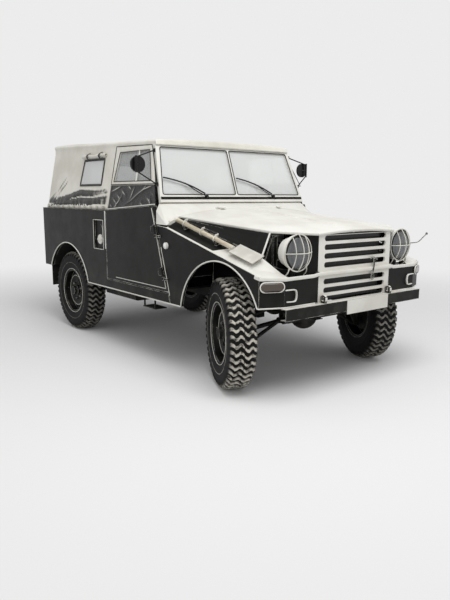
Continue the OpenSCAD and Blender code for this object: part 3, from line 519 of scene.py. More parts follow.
def cloth_map(made, u, v, fold=0.0):
    """Stores the flat map, in metres, and how much painted fold shading each point takes."""
    mesh = made.data
    corner_point = np.zeros(len(mesh.loops), int)
    mesh.loops.foreach_get("vertex_index", corner_point)
    layer = mesh.uv_layers.new(name="cloth")
    layer.data.foreach_set("uv", np.stack([u, v], -1)[corner_point].ravel())
    depth = mesh.attributes.new("fold", "FLOAT", "POINT")
    depth.data.foreach_set("value", np.broadcast_to(fold, len(mesh.vertices)).astype(np.float32))


def box_map(made, fold=0.0):
    """The map of a small piece: distance along X and Y plus distance up, in metres."""
    points = np.zeros(3 * len(made.data.vertices))
    made.data.vertices.foreach_get("co", points)
    x, y, z = points.reshape(-1, 3).T
    cloth_map(made, x + y, z + y * 0.5, fold)


print("canvas ready")

# %% [markdown]
# ## Everything else the car is made of
# One recipe serves most of it: two close tones in soft blotches, road dust low down, and a
# fine grain as bump. Only the numbers differ between chassis paint, moulded rubber, cast
# iron, leathercloth and ash. A texture painted by hand would look as good from one side,
# but this has no seams and stays in place when a part moves.

# %% Chassis paint, rubber, iron, leathercloth, ash, glass
def common(name, code, second, roughness, dust=0.0, blotch=6.0, grain=180.0, height_mm=0.3, stretch=None,
           **sockets):
    """Two tones, dust below 0.85 m, and grain whose bumps are height_mm high. stretch scales
    the grain along X, Y and Z, so that wood runs one way."""
    made, tree, shader = new_material(name, code, roughness, **sockets)
    where = add(tree, "ShaderNodeTexCoord").outputs["Object"]
    grain_at = where
    if stretch:
        grain_at = add(tree, "ShaderNodeMapping", {"Vector": where, "Scale": stretch}).outputs[0]
    height = add(tree, "ShaderNodeSeparateXYZ", {0: where}).outputs[2]
    base = mix(tree, ramp(tree, noise(tree, grain_at if stretch else where, blotch), 0.35, 0.7), code, second)
    if dust:
        settled = product(tree, ramp(tree, height, 0.85, 0.30),
                ramp(tree, noise(tree, where, 8), 0.35, 0.75), dust)
        base = mix(tree, settled, base, ROAD_DUST)
    tree.links.new(base, shader.inputs["Base Color"])
    bump = add(tree, "ShaderNodeBump", {"Height": noise(tree, grain_at, grain, 3), "Strength": 0.5,
            "Distance": height_mm / 1000})
    tree.links.new(bump.outputs[0], shader.inputs["Normal"])
    return made


def pane(name, code, alpha, roughness=0.06):
    """Thin glass or clear sheet, tinted pale, which lets 1 - alpha of the view through."""
    made, tree, shader = new_material(name, code, roughness, **{"Alpha": alpha, "Specular IOR Level": 0.6,
            "Coat Weight": 0.5, "Coat Roughness": 0.04})
    return made


def lens(name, code, flutes_per_m, roughness=0.12, **sockets):
    """Pressed lamp glass: upright flutes over a bright or coloured bowl."""
    made, tree, shader = new_material(name, code, roughness, **{"Coat Weight": 0.8, "Coat Roughness": 0.05,
            **sockets})
    where = add(tree, "ShaderNodeTexCoord").outputs["Object"]
    wave = add(tree, "ShaderNodeTexWave", {"Vector": where, "Scale": 2 * math.pi * flutes_per_m / 20},
               bands_direction="Y").outputs["Fac"]
    bump = add(tree, "ShaderNodeBump", {"Height": wave, "Strength": 0.6, "Distance": 0.002})
    tree.links.new(bump.outputs[0], shader.inputs["Normal"])
    return made


chassis_paint = common("matt chassis paint", "#0a0a09", "#121210", 0.6, dust=0.25,
        **{"Specular IOR Level": 0.2})
under_paint = common("matt paint under the body", "#0e0e0d", "#161613", 0.65, dust=0.3,
        **{"Specular IOR Level": 0.2})
cast_iron = common("cast iron in engine paint", "#2b2e2b", "#1d1f1d", 0.5, dust=0.2, height_mm=0.6)
core_black = common("radiator core", "#0e0e0e", "#161616", 0.55, stretch=(1, 6, 0.3), height_mm=1.5)
rubber = common("moulded rubber", "#0a0a0a", "#121211", 0.72, dust=0.15, **{"Specular IOR Level": 0.2})
bakelite = common("black bakelite", "#0a0a0a", "#101010", 0.3, height_mm=0.05, **{"Specular IOR Level": 0.3})
leathercloth = common("dark leathercloth", "#1b1c19", "#24241f", 0.55, grain=420, height_mm=0.5, blotch=4)
ash_wood = common("weathered ash", "#cbc2ae", "#a2977f", 0.6, grain=240, stretch=(0.06, 1, 1), blotch=30)
bright_steel = common("zinc-plated steel", "#b4b5b2", "#8e8f8c", 0.34, grain=300, height_mm=0.1, Metallic=0.9)
# Also the colour of the painted highlight rings on the rims.
pale_steel_and_highlight = common("worn tool steel", "#dad8cf", "#b7b5ac", 0.45, grain=160, height_mm=0.2)
window_pane = pane("window glass and clear sheet", "#e9ebea", 0.58)
door_pane = pane("clear vinyl in the door tops", "#d5d8d6", 0.34)
mirror_silver, _, _ = new_material("mirror glass", "#d8dcde", 0.03, Metallic=1.0)
smoked_glass = lens("lamp glass over an amber bulb", "#3a2a1c", 160)
red_glass = lens("red lamp glass", "#5a1512", 160)
clear_glass = lens("clear lamp glass", "#e4e6e3", 160)
print("other materials ready")

# %% [markdown]
# ## Two-tone parts
# Some pressings change colour across one part, as painted light and shade. The bonnet, the
# ledges beside the lamps and the bumper are pale where they look up: painted light from above.
# The grille is pale in the middle and dark in the bays beside it, painted shade in the recesses.
# A rule over place and normal says where, so the boundary is crisp.

# %% Rules for the painted light and shade on two-tone parts
BAY_Y = 0.372
LEDGE_X = 1.25
BEAD_Y = 0.806
PLATE_X = CAD_BOX[1][0] - 0.0028


def side_distance(tree, place):
    """How far a point is from the middle plane."""
    return add(tree, "ShaderNodeMath", {0: place[1]}, operation="ABSOLUTE").outputs[0]


def grille_rule(tree, place, normal):
    """Pale between the two dark bays, as painted light; the dark in the bays is painted shade."""
    return ramp(tree, side_distance(tree, place), BAY_Y + 0.002, BAY_Y)


def wing_rule(tree, place, normal):
    """Pale on top from LEDGE_X forwards, further back along the inner side, as painted light,
    and pale on the bead along the outer edge, as a painted highlight."""
    out = side_distance(tree, place)
    slant = add(tree, "ShaderNodeMath", {0: out, 1: 1.1, 2: place[0]}, operation="MULTIPLY_ADD").outputs[0]
    ledge = ramp(tree, slant, LEDGE_X + 1.1 * BEAD_Y, LEDGE_X + 1.1 * BEAD_Y + 0.004)
    bead = ramp(tree, out, BEAD_Y, BEAD_Y + 0.002)
    either = add(tree, "ShaderNodeMath", {0: ledge, 1: bead}, operation="MAXIMUM").outputs[0]
    return product(tree, either, ramp(tree, normal[2], 0.28, 0.34))


def lamp_rule(tree, place, normal):
    """The headlamp shells and side lamps are pale as painted light, the tail lamps at the back
    are not, and the stalks below stay dark as painted shade.
    """
    return product(tree, ramp(tree, place[0], -1.0, -0.9), ramp(tree, place[2], 0.853, 0.856))


def bumper_rule(tree, place, normal):
    """Pale on top as painted light, and on the blank number plate that stands proud of the front face."""
    plate_face = ramp(tree, place[0], PLATE_X, PLATE_X + 0.0004)
    return add(tree, "ShaderNodeMath", {0: ramp(tree, normal[2], 0.6, 0.7), 1: plate_face},
               operation="MAXIMUM").outputs[0]


wing_enamel = enamel("satin enamel, wings", wing_rule)
grille_enamel = enamel("satin enamel, grille", grille_rule, edge_highlight=0.5)
lamp_enamel = enamel("satin enamel, lamp shells", lamp_rule, edge_highlight=0.0, roughness=0.3)
bumper_enamel = enamel("satin enamel, bumper", bumper_rule, edge_highlight=0.6)
wheel_enamel = enamel("satin enamel, wheels", edge_highlight=0.6, roughness=0.5)
bonnet_enamel = enamel("satin enamel, bonnet", lit_tops, edge_highlight=0.4)

FINISHES = {
    chassis_paint: ["chassis_frame", "suspension", "drive_train", "exhaust", "fuel_tank", "knuckle_right",
        "knuckle_left", "steering_column"],
    under_paint: ["floor_pan", "seat_frames", "canopy_bows", "side_steps"],
    dark_enamel: ["quarter_panel_right", "quarter_panel_left", "rear_frame", "rear_door", "door_right",
        "door_left", "dashboard"],
    # The cowl and windscreen frame are pale as painted light on lit faces.
    pale_enamel: ["cowl", "windscreen_frame"],
    cast_iron: ["engine_block"],
    core_black: ["radiator"],
    wing_enamel: ["front_wing_right", "front_wing_left"],
    grille_enamel: ["grille_panel"],
    bumper_enamel: ["front_bumper"],
    lamp_enamel: ["lamps"],
    wheel_enamel: ["rim_front_right", "rim_front_left", "rim_rear_right", "rim_rear_left", "spare_rim"],
    rubber: ["mudflaps", "tyre_front_right", "tyre_front_left", "tyre_rear_right", "tyre_rear_left",
             "spare_tyre"],
    bakelite: ["steering_wheel", "mirrors"],
    window_pane: ["window_glass"],
    door_pane: ["door_pane_right", "door_pane_left"],
    leathercloth: ["seat_cushions"],
    canvas: ["canopy", "door_top_right", "door_top_left"],
    pale_steel_and_highlight: ["pioneer_tools"],
    bonnet_enamel: ["bonnet"],
}
for finish, nodes in FINISHES.items():
    for node in nodes:
        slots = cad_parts[node].data.materials
        slots.clear()
        slots.append(finish)
bare = set(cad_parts) - {node for nodes in FINISHES.values() for node in nodes}
print("nodes without a finish:", sorted(bare))

# %% [markdown]
# ## The canvas top
# On the car this is one cover, stretched over three hoops and the windscreen's header, and
# buttoned down along the tub. It could be boxes with rounded edges, or a simulated cloth.
# Here it is a single sheet worked out from its own plan: walls rise from the hem round the
# sides and back and roll over into a crowned roof that sags a little between the hoops.

# %% The plan of the top
LO, HI = (np.array(c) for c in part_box("canopy"))
HEM_Z = LO[2]
SCREEN = node_points("windscreen_frame")
ROOF_HALF = corner(SCREEN, 0, 1, 1)[1]
ROOF_FRONT, ROOF_REAR = HI[0], LO[0] + 0.040
EDGE_FRONT, EDGE_REAR = 1.745, 1.800
CROWN_REAR, CROWN_FRONT = HI[2] - EDGE_REAR, 0.014
SIDE_Y = HI[1]
SIDE_LEAN, BACK_LEAN = 103 / 523, math.tan(math.radians(4.5))
DOOR_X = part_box("door_right")[0][0] - 0.008
ROLL = 0.020                      # radius of the rolled edge where wall turns into roof
CORNER = 0.045                    # radius of the back corners
SKIRT = 0.030
HOOPS = [-0.304, -1.015, -1.535, ROOF_FRONT]
SIDE_PANE = node_points("window_glass")
SIDE_PANE = SIDE_PANE[(SIDE_PANE[:, 0] < -0.2) & (SIDE_PANE[:, 0] > -1.2)]
BACK_PANE = node_points("window_glass")
BACK_PANE = BACK_PANE[BACK_PANE[:, 0] < -1.4]


def edge_z(x):
    """Height of the roof's edge: a straight fall from back to front."""
    return EDGE_REAR + (EDGE_FRONT - EDGE_REAR) * (x - ROOF_REAR) / (ROOF_FRONT - ROOF_REAR)


def roof_z(x, y, into):
    """The crown is 1 - |t|^2.4 across the roof, lower towards the front. Near the rolled edge,
    into metres inside it, the roof drops along a quarter circle. It sags 7 mm between hoops."""
    t = np.clip(np.abs(y) / ROOF_HALF, 0, 1)
    drop = ROLL - np.sqrt(np.maximum(0, ROLL**2 - np.maximum(0, ROLL - into) ** 2))
    between = np.interp(x, sorted(HOOPS), np.arange(len(HOOPS)))
    crown = CROWN_REAR + (CROWN_FRONT - CROWN_REAR) * (x - ROOF_REAR) / (ROOF_FRONT - ROOF_REAR)
    return edge_z(x) + crown * (1 - t**2.4) - drop - 0.007 * np.sin(np.pi * between) ** 2 * (1 - t**4)


def steps(*stops):
    """Sample places: (start, end, count), (end, count)... with every stop among them."""
    places = [np.array([stops[0]])]
    for end, count in stops[1:]:
        places.append(np.linspace(places[-1][-1], end, count + 1)[1:])
    return np.concatenate(places)


PANE_LEAN = 0.030                 # how much further back the side window's rear edge is at its foot
PANE_X = (SIDE_PANE[:, 0].min() + PANE_LEAN, SIDE_PANE[:, 0].max())
ROOF_X = steps(ROOF_REAR, (ROOF_REAR + CORNER, 5), (PANE_X[0] - 0.03, 34), (PANE_X[1], 22), (DOOR_X, 10),
               (ROOF_FRONT, 30))
ROOF_Y = steps(-ROOF_HALF, (-ROOF_HALF + CORNER, 5), (-0.300, 14), (0.300, 24), (ROOF_HALF - CORNER, 14),
               (ROOF_HALF, 5))


def round_corners(x, y):
    """Moves the plan's back corners in to a quarter circle. Inside the corner square, with
    p and q running out from the circle's centre, p becomes p sqrt(1 - q q / 2), and so q."""
    p = np.clip((ROOF_REAR + CORNER - x) / CORNER, 0, 1)
    q = np.clip((np.abs(y) - ROOF_HALF + CORNER) / CORNER, 0, 1)
    x = np.where((p > 0) & (q > 0), ROOF_REAR + CORNER - CORNER * p * np.sqrt(1 - q**2 / 2), x)
    y = np.where((p > 0) & (q > 0), np.sign(y) * (ROOF_HALF - CORNER + CORNER * q * np.sqrt(1 - p**2 / 2)), y)
    return x, y


print("roof plan", len(ROOF_X), "by", len(ROOF_Y))

# %% Roof and walls as one sheet
def roof_sheet():
    """The roof over its plan, with extra lines close to the edge for the roll."""
    x0 = np.concatenate([ROOF_REAR + ROLL * np.array([0, 0.06, 0.25, 0.6]),
            ROOF_X[ROOF_X > ROOF_REAR + ROLL]])
    rim = ROLL * np.array([0, 0.06, 0.25, 0.6])
    y0 = np.concatenate([-ROOF_HALF + rim, ROOF_Y[np.abs(ROOF_Y) < ROOF_HALF - ROLL], ROOF_HALF - rim[::-1]])
    x, y = np.meshgrid(x0, y0, indexing="ij")
    x, y = round_corners(x, y)
    into = np.minimum(ROOF_HALF - np.abs(y), x - ROOF_REAR)
    from_centre = np.hypot(np.maximum(0, ROOF_REAR + CORNER - x),
            np.maximum(0, np.abs(y) - ROOF_HALF + CORNER))
    both = (x < ROOF_REAR + CORNER) & (np.abs(y) > ROOF_HALF - CORNER)
    into = np.where(both, CORNER - from_centre, into)
    points = np.stack([x, y, roof_z(x, y, np.maximum(0, into))], -1)
    return points


def wall_rim(points):
    """The roof's border, from the right front round the back to the left front, with the
    outward direction in plan at each of its points."""
    rim = np.concatenate([points[::-1, 0], points[0, 1:-1], points[:, -1]])
    x, y = rim[:, 0], rim[:, 1]
    nx = np.clip((ROOF_REAR + CORNER - x) / CORNER, 0, 1)
    ny = np.clip((np.abs(y) - ROOF_HALF + CORNER) / CORNER, 0, 1) * np.sign(y)
    outward = unit(np.stack([-nx, np.where(np.abs(ny) + nx == 0, 1, ny)], -1))
    return rim, outward


def wall_rows(rim, outward):
    """Wall points from the hem to the rim. Each row has one height on the sides and another
    on the back, because their windows differ, blended round the corners. A row lies on the
    leaning plane of its side, and flares to meet the roof's edge over the last 70 mm."""
    back = np.abs(outward[:, 0]) ** 2
    top = rim[:, 2]
    side_stops = [HEM_Z, SIDE_PANE[:, 2].min(), SIDE_PANE[:, 2].max()]
    back_stops = [HEM_Z, BACK_PANE[:, 2].min(), BACK_PANE[:, 2].max()]
    stops = [s + (b - s) * back for s, b in zip(side_stops, back_stops)]
    stops.append(top - SKIRT)
    rows = [stops[0] + (stops[1] - stops[0]) * f for f in np.linspace(0, 1, 21)]
    rows += [stops[1] + (stops[2] - stops[1]) * f for f in np.linspace(0, 1, 13)[1:]]
    rows += [stops[2] + (stops[3] - stops[2]) * f for f in np.linspace(0, 1, 9)[1:]]
    rows += [stops[3] + (top - stops[3]) * f for f in np.linspace(0, 1, 4)[1:-1]]
    z = np.array(rows)
    height = z - HEM_Z
    near_top = np.clip((z - top + 0.07) / 0.07, 0, 1) ** 2
    side_plane = SIDE_Y - 0.001 - SIDE_LEAN * height
    back_plane = LO[0] + 0.001 + BACK_LEAN * height
    side_out = (side_plane - ROOF_HALF) * (1 - near_top)
    back_out = (ROOF_REAR - back_plane) * (1 - near_top)
    plan = rim[:, :2] + outward * (side_out * (1 - back) + back_out * back)[..., None]
    lean = np.interp(z, [HEM_Z, *side_stops[1:]], [0, 1, 0])
    lean = lean * np.clip(1 - np.abs(rim[:, 0] - PANE_X[0]) / 0.3, 0, 1)
    plan[..., 0] -= PANE_LEAN * lean * (1 - back)
    return np.concatenate([plan, z[..., None]], -1)


def front_apron(roof):
    """Rows that roll over the front edge of the roof and fall over the windscreen's header."""
    top = roof[-1]
    low = SCREEN[:, 2].max() - 0.016
    rows = []
    for forward, down in ((0.005, 0.0005), (0.010, 0.003), (0.014, 0.008), (0.016, 0.016),
                          (0.017, 0.4), (0.020, 0.75), (0.022, 1.0)):
        z = top[:, 2] - down
        if down > 0.1:
            z = top[:, 2] - 0.016 + (low - top[:, 2] + 0.016) * (down - 0.3) / 0.7
        rows.append(np.stack([top[:, 0] + forward, top[:, 1], z], -1))
    return np.array(rows)


ROOF = roof_sheet()
RIM, OUTWARD = wall_rim(ROOF)
WALL = wall_rows(RIM, OUTWARD)
ROOF = np.concatenate([ROOF, front_apron(ROOF)])
print("walls", WALL.shape, "roof", ROOF.shape)

# %% [markdown]
# Folds gather where cloth is pulled or pushed. Along the hem it puckers between its
# buttons; under each side window a slack fold hangs, darkened with painted shade; from the
# back corners long creases run towards the buttons. Each is a ridge formula added outwards.
# They die out at window and door edges, where the cloth is sewn flat. Painted shade also
# darkens the folds' slopes and the hem's foot.

# %% Folds
def ridge(distance, width):
    """A rounded ridge: e to the minus (distance / width) squared."""
    return np.exp(-((distance / width) ** 2))


def hem_pucker(s, height):
    """Puckers about 110 mm apart that drift sideways and fade upwards."""
    wave = np.sin(2 * np.pi * (s / 0.113 + 0.35 * np.sin(2 * np.pi * s / 0.41) + height * 1.7))
    small = np.sin(2 * np.pi * (s / 0.047 - height * 5 + 0.2 * np.sin(2 * np.pi * s / 0.23)))
    return (0.0055 * wave + 0.002 * small) * np.exp(-height / 0.075) * np.clip(height / 0.02, 0, 1)


def slack_folds(s, height, start, span, rear):
    """Three sagging folds from the door to the rear corner, from start and span long: each
    hangs along a shallow arc, one over the other, and they draw together towards the rear."""
    along = np.clip((s - start) / span, 0, 1)
    fade = np.sin(np.pi * np.clip((s - start + 0.08) / (span + 0.16), 0, 1)) ** 0.6
    total = 0.0
    for level, sag, deep in ((0.165, 0.030, 0.010), (0.115, 0.040, 0.012), (0.070, 0.022, 0.008)):
        line = level - sag * np.sin(np.pi * along) + 0.010 * np.sin(9 * along + 20 * level)
        line = line * (1 - 0.62 * rear)
        total = total + deep * ridge(height - line, 0.017) * fade
    return total


def corner_creases(s, height, foot, lean):
    """Creases that rise from a foot on the hem, leaning along the wall."""
    total = 0.0
    for k, (gap, deep) in enumerate(((0.0, 0.006), (0.07, 0.004), (0.15, 0.005))):
        line = foot + gap + lean * height * (1 + 0.3 * k)
        total = total + deep * ridge(s - line, 0.012 + 0.02 * height) * np.exp(-height / 0.22)
    return total * np.clip(height / 0.03, 0, 1)


S = np.concatenate([[0], np.cumsum(np.linalg.norm(np.diff(RIM[:, :2], axis=0), axis=1))])
S_WALL, HEIGHT = np.broadcast_to(S, WALL.shape[:2]), WALL[..., 2] - HEM_Z
X_RIM, Y_RIM = RIM[:, 0], RIM[:, 1]
ON_SIDE = (np.abs(OUTWARD[:, 0]) < 0.5) & (X_RIM <= DOOR_X + 1e-6)
HALF_ROUND = S[-1] / 2


def place_along(x, sign):
    """Distance along the rim to the point at x on the right (-1) or left (1) side."""
    near = np.argmin(np.abs(X_RIM - x) + 10 * (np.sign(Y_RIM) != sign))
    return S[near]


def flat_near_edges():
    """0 where the cloth is sewn flat, at window and door edges, and 1 from 45 mm away."""
    x, y, z = WALL[..., 0], WALL[..., 1], WALL[..., 2]
    side_gap = np.maximum(np.maximum(PANE_X[0] - PANE_LEAN - x, x - PANE_X[1]),
            np.maximum(SIDE_PANE[:, 2].min() - z, z - SIDE_PANE[:, 2].max()))
    half = BACK_PANE[:, 1].max()
    back_gap = np.maximum(np.abs(y) - half, np.maximum(BACK_PANE[:, 2].min() - z, z - BACK_PANE[:, 2].max()))
    gap = np.where(ON_SIDE, side_gap, back_gap)
    door = np.where(ON_SIDE, DOOR_X - x, 1.0)
    return np.clip((gap - 0.014) / 0.045, 0, 1) * np.clip((door - 0.02) / 0.06, 0, 1)


def wall_folds():
    """All folds together, outwards, in metres, and the painted shade on them, 0 to 1: darker on
    steep fold sides, in the slack folds and along the hem's foot.
    """
    slack = 0.0
    for sign in SIDES.values():
        ends = sorted([place_along(DOOR_X, sign), place_along(ROOF_REAR + 0.10, sign)])
        rear = np.clip((PANE_X[0] - X_RIM) / (PANE_X[0] - ROOF_REAR - 0.10), 0, 1) ** 0.8
        slack = slack + slack_folds(S_WALL, HEIGHT, ends[0], ends[1] - ends[0], rear)
    pucker = hem_pucker(S_WALL, HEIGHT)
    crease = (corner_creases(S_WALL, HEIGHT, place_along(ROOF_REAR + 0.10, -1), -1.1)
              + corner_creases(S_WALL, HEIGHT, place_along(ROOF_REAR + 0.10, 1) - 0.15, 1.1)
              + corner_creases(S_WALL, HEIGHT, HALF_ROUND - 0.45, 0.7)
              + corner_creases(S_WALL, HEIGHT, HALF_ROUND + 0.30, -0.7))
    flat = flat_near_edges()
    out = (slack + pucker + crease) * flat
    below = np.roll(out, -2, axis=0) - np.roll(out, 2, axis=0)
    beside = np.roll(out, -2, axis=1) - np.roll(out, 2, axis=1)
    painted_fold_shading = np.clip(np.abs(below) / 0.009 + np.abs(beside) / 0.008, 0, 1) ** 1.6
    shade = np.where(slack > 0.0035, np.clip((slack - 0.0035) / 0.006, 0, 1), 0)
    painted_fold_shading = np.clip(painted_fold_shading + 0.9 * shade + 0.5 * np.exp(-HEIGHT / 0.012), 0, 1) * np.clip(flat + 0.25, 0, 1)
    painted_fold_shading[[0, 1, -1]] *= 0.4
    return out, painted_fold_shading


FOLD_OUT, FOLD_SHADE_MAP = wall_folds()
WALL[..., :2] += OUTWARD * FOLD_OUT[..., None]
print("deepest fold", round(float(FOLD_OUT.max() * 1000), 1), "mm")

# %% The sheet itself, with its window and door openings
def open_wall_faces():
    """Wall faces, less the windows and what is above the doors under the skirt."""
    rows, cols = WALL.shape[0] + 1, WALL.shape[1]
    faces = grid_faces(rows, cols)
    i, j = faces[:, 0] // cols, faces[:, 0] % cols
    after = np.minimum(j + 1, cols - 1)
    x, y = (X_RIM[j] + X_RIM[after]) / 2, (Y_RIM[j] + Y_RIM[after]) / 2
    window_row = (i >= 20) & (i < 32)
    side_hole = window_row & ON_SIDE[j] & ON_SIDE[after] & (x > PANE_X[0]) & (x < PANE_X[1])
    back_hole = window_row & ~ON_SIDE[j] & (x < ROOF_REAR + 1e-4) & (np.abs(y) < BACK_PANE[:, 1].max())
    door_hole = (i < 40) & (x > DOOR_X)
    return faces[~(side_hole | back_hole | door_hole)]


def make_canopy():
    """Walls and roof share the rim's points, which merge into one sheet."""
    wall = np.concatenate([WALL, RIM[None]]).reshape(-1, 3)
    roof = ROOF.reshape(-1, 3)
    wall_uv = np.stack([np.append(S_WALL.ravel(), S), wall[:, 2]], -1)
    made = piece("canvas_top", [(wall, [open_wall_faces()]), (roof, [grid_faces(*ROOF.shape[:2])])],
                 canvas, sheet=True, sharp=70)
    mesh = made.data
    key = np.round(np.concatenate([wall, roof]), 5)
    points = np.zeros(3 * len(mesh.vertices))
    mesh.vertices.foreach_get("co", points)
    order = {tuple(k): n for n, k in reversed(list(enumerate(key.tolist())))}
    index = np.array([order.get(tuple(p), 0) for p in np.round(points.reshape(-1, 3), 5).tolist()])
    uv = np.concatenate([wall_uv, roof[:, :2] + 5])[index]
    painted_fold_shading = np.concatenate([FOLD_SHADE_MAP.ravel(), np.zeros(len(RIM) + len(roof))])[index]
    cloth_map(made, uv[:, 0], uv[:, 1], painted_fold_shading)
    thick = made.modifiers.new("cloth thickness", "SOLIDIFY")
    thick.thickness = 0.0022
    thick.offset = -1
    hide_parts("canopy")
    return made


canvas_top = make_canopy()

# %% [markdown]
# The cover is fastened with turn-buttons: a strip of doubled cloth along the hem has a
# light tab at each. Windows are bound with dark webbing, and a flap that can close the
# side window is rolled up over it and held by two straps.


def thicken(made, thickness, offset=-1.0):
    """Gives a sheet its thickness, inwards from its outer face unless offset says otherwise."""
    thick = made.modifiers.new("thickness", "SOLIDIFY")
    thick.thickness = thickness
    thick.offset = offset


def on_wall(x, z, sign, out=0.0):
    """The point of the right (-1) or left (1) canvas wall at x and z, out metres proud of it."""
    x, z = np.broadcast_arrays(np.asarray(x, float), np.asarray(z, float))
    y = SIDE_Y - 0.001 - SIDE_LEAN * (z - HEM_Z) + out
    return np.stack([x, sign * y, z], -1)


def on_back(y, z, out=0.0):
    """The point of the back canvas wall at y and z, out metres proud of it."""
    y, z = np.broadcast_arrays(np.asarray(y, float), np.asarray(z, float))
    return np.stack([LO[0] + 0.001 + BACK_LEAN * (z - HEM_Z) - out, y, z], -1)


WALL_OUT = {sign: unit((0, sign, SIDE_LEAN)) for sign in (-1, 1)}
BACK_OUT = unit((-1, 0, BACK_LEAN))

# %% Bindings, flaps, tabs and straps
DARK_BINDING = woven("dark bound webbing", "#161614", "#242320", "#0a0a09", 2.4)
BAND = round_box(0.020, 0.004, 0.0018, 3)


def binding(corners, out_axis):
    """A flat band swept round a closed path, lying against a wall."""
    path = stations(corners, 14)
    return sweep(path, BAND, up=out_axis, closed=True)


def strap(start, end, out_axis, width=0.022, sag=0.006):
    """A short band between two points that lies slightly loose."""
    t = np.linspace(0, 1, 9)[:, None]
    path = np.asarray(start) * (1 - t) + np.asarray(end) * t + np.asarray(out_axis) * sag * np.sin(np.pi * t)
    return sweep(path, round_box(width, 0.003, 0.0014, 3), up=out_axis)


def window_trim():
    """Side and back window bindings."""
    shells = []
    low, high = SIDE_PANE[:, 2].min(), SIDE_PANE[:, 2].max()
    for sign in SIDES.values():
        path = [on_wall(x, z, sign, 0.003) for x, z in (
            (PANE_X[0] - PANE_LEAN, low), (PANE_X[1], low), (PANE_X[1], high), (PANE_X[0], high))]
        shells.append(binding(np.array(path), WALL_OUT[sign]))
    low, high, half = BACK_PANE[:, 2].min(), BACK_PANE[:, 2].max(), BACK_PANE[:, 1].max()
    path = [on_back(y, z, 0.003) for y, z in ((-half, low), (half, low), (half, high), (-half, high))]
    shells.append(binding(np.array(path), BACK_OUT))
    return shells


def rolled_flap(a, b, radius, out_axis, turns=2.4):
    """Cloth rolled into a loose spiral along the line from a to b, wavy like a real roll."""
    t = np.linspace(0, 1, 40)
    line = np.asarray(a)[None] * (1 - t[:, None]) + np.asarray(b)[None] * t[:, None]
    line += np.asarray(out_axis) * 0.003 * np.sin(11 * t + 1)[:, None]
    line[:, 2] += 0.004 * np.sin(9 * t) * np.sin(np.pi * t)
    angle = np.linspace(0, 2 * np.pi * turns, 44)
    grow = radius * (0.35 + 0.65 * angle / angle[-1])
    along = unit(np.asarray(b) - np.asarray(a))
    over = np.cross(along, out_axis)
    spiral = (np.cos(angle) * grow)[:, None] * np.asarray(out_axis) + (np.sin(angle) * grow)[:, None] * over
    plump = 1 + 0.10 * np.sin(23 * t)[:, None, None] * np.sin(np.pi * t)[:, None, None]
    points = line[:, None] + spiral[None] * plump
    return points.reshape(-1, 3), [grid_faces(len(t), len(angle))]


def hem_strip():
    """The doubled band along the hem on both sides and the back, 45 mm high."""
    keep = [j for j in range(len(RIM)) if X_RIM[j] <= DOOR_X + 1e-6]
    rows = [WALL[0, keep], WALL[1, keep], WALL[2, keep]]
    base = np.array(rows)
    z = HEM_Z + np.array([0.002, 0.024, 0.046])[:, None]
    lean = np.where(np.abs(OUTWARD[keep][:, 0]) > 0.5, BACK_LEAN, SIDE_LEAN)
    shift = (z - base[..., 2]) * -lean[None]
    plan = base[..., :2] + OUTWARD[keep][None] * (shift[..., None] + 0.004)
    return np.concatenate([plan, np.broadcast_to(z[..., None], (*base.shape[:2], 1))], -1)


def hem_tabs():
    """Light tabs with a button, on the hem strip, about 120 mm apart."""
    shells, buttons = [], []
    spots = [(on_wall(x, HEM_Z + 0.018, s, 0.008), (-s, 0, 0), WALL_OUT[s])
             for s in SIDES.values() for x in np.linspace(ROOF_REAR + 0.06, DOOR_X - 0.07, 11)]
    spots += [(on_back(y, HEM_Z + 0.018, 0.008), (0, -1, 0), BACK_OUT) for y in np.linspace(-0.68, 0.68, 12)]
    for spot, along, out in spots:
        along = np.array(along, float)
        up = np.cross(out, along)
        shells.append(plate(round_box(0.046, 0.030, 0.010), 0.003, spot, along, up, 0.001))
        buttons.append(lathe([(0, 0.009), (0.005, 0.008), (0.0075, 0.004), (0.0075, 0.002)], spot, out, 14))
    return shells, buttons


trim = piece("window_bindings", window_trim(), DARK_BINDING)
box_map(trim)
hem = hem_strip()
hem_band = piece("hem_band", [(hem.reshape(-1, 3), [grid_faces(*hem.shape[:2])])], canvas,
        sheet=True)
box_map(hem_band, 0.12)
thicken(hem_band, 0.002, 0.0)
tab_shells, button_shells = hem_tabs()
tabs = piece("hem_tabs", tab_shells, webbing)
box_map(tabs)
piece("turn_buttons", button_shells, bright_steel)
for side, sign in SIDES.items():
    top = SIDE_PANE[:, 2].max() + 0.034
    roll = piece(f"rolled_flap_{side}", [rolled_flap(
        on_wall(PANE_X[0] - 0.02, top, sign, 0.013), on_wall(PANE_X[1] + 0.03, top, sign, 0.013), 0.015,
        WALL_OUT[sign])], canvas, sheet=True, sharp=80)
    # 0.22 gives the roll a faint painted fold shade.
    box_map(roll, 0.22)
    thicken(roll, 0.0015)
    straps = [strap(on_wall(x, top + 0.03, sign, 0.004), on_wall(x, top - 0.036, sign, 0.006), WALL_OUT[sign],
                    sag=0.030) for x in (PANE_X[0] + 0.09, PANE_X[1] - 0.07)]
    box_map(piece(f"flap_straps_{side}", straps, DARK_BINDING))

# %% [markdown]
# ## Door tops
# Each door carries a light frame covered in cloth, with a window of clear sheet and an
# upright beside a vent pane. The panel under the window is darker proofed cloth that has
# gone into hard glossy creases. The creases are ridges along slanted lines; light catches
# their crests, so the mesh marks the crests and the material paints a pale highlight there.

# %% Door tops
BELT_Z, LEAN = 1.190, math.atan(SIDE_LEAN)
TOP_SIDE_Y = 0.804
SILL_BAR = 0.034


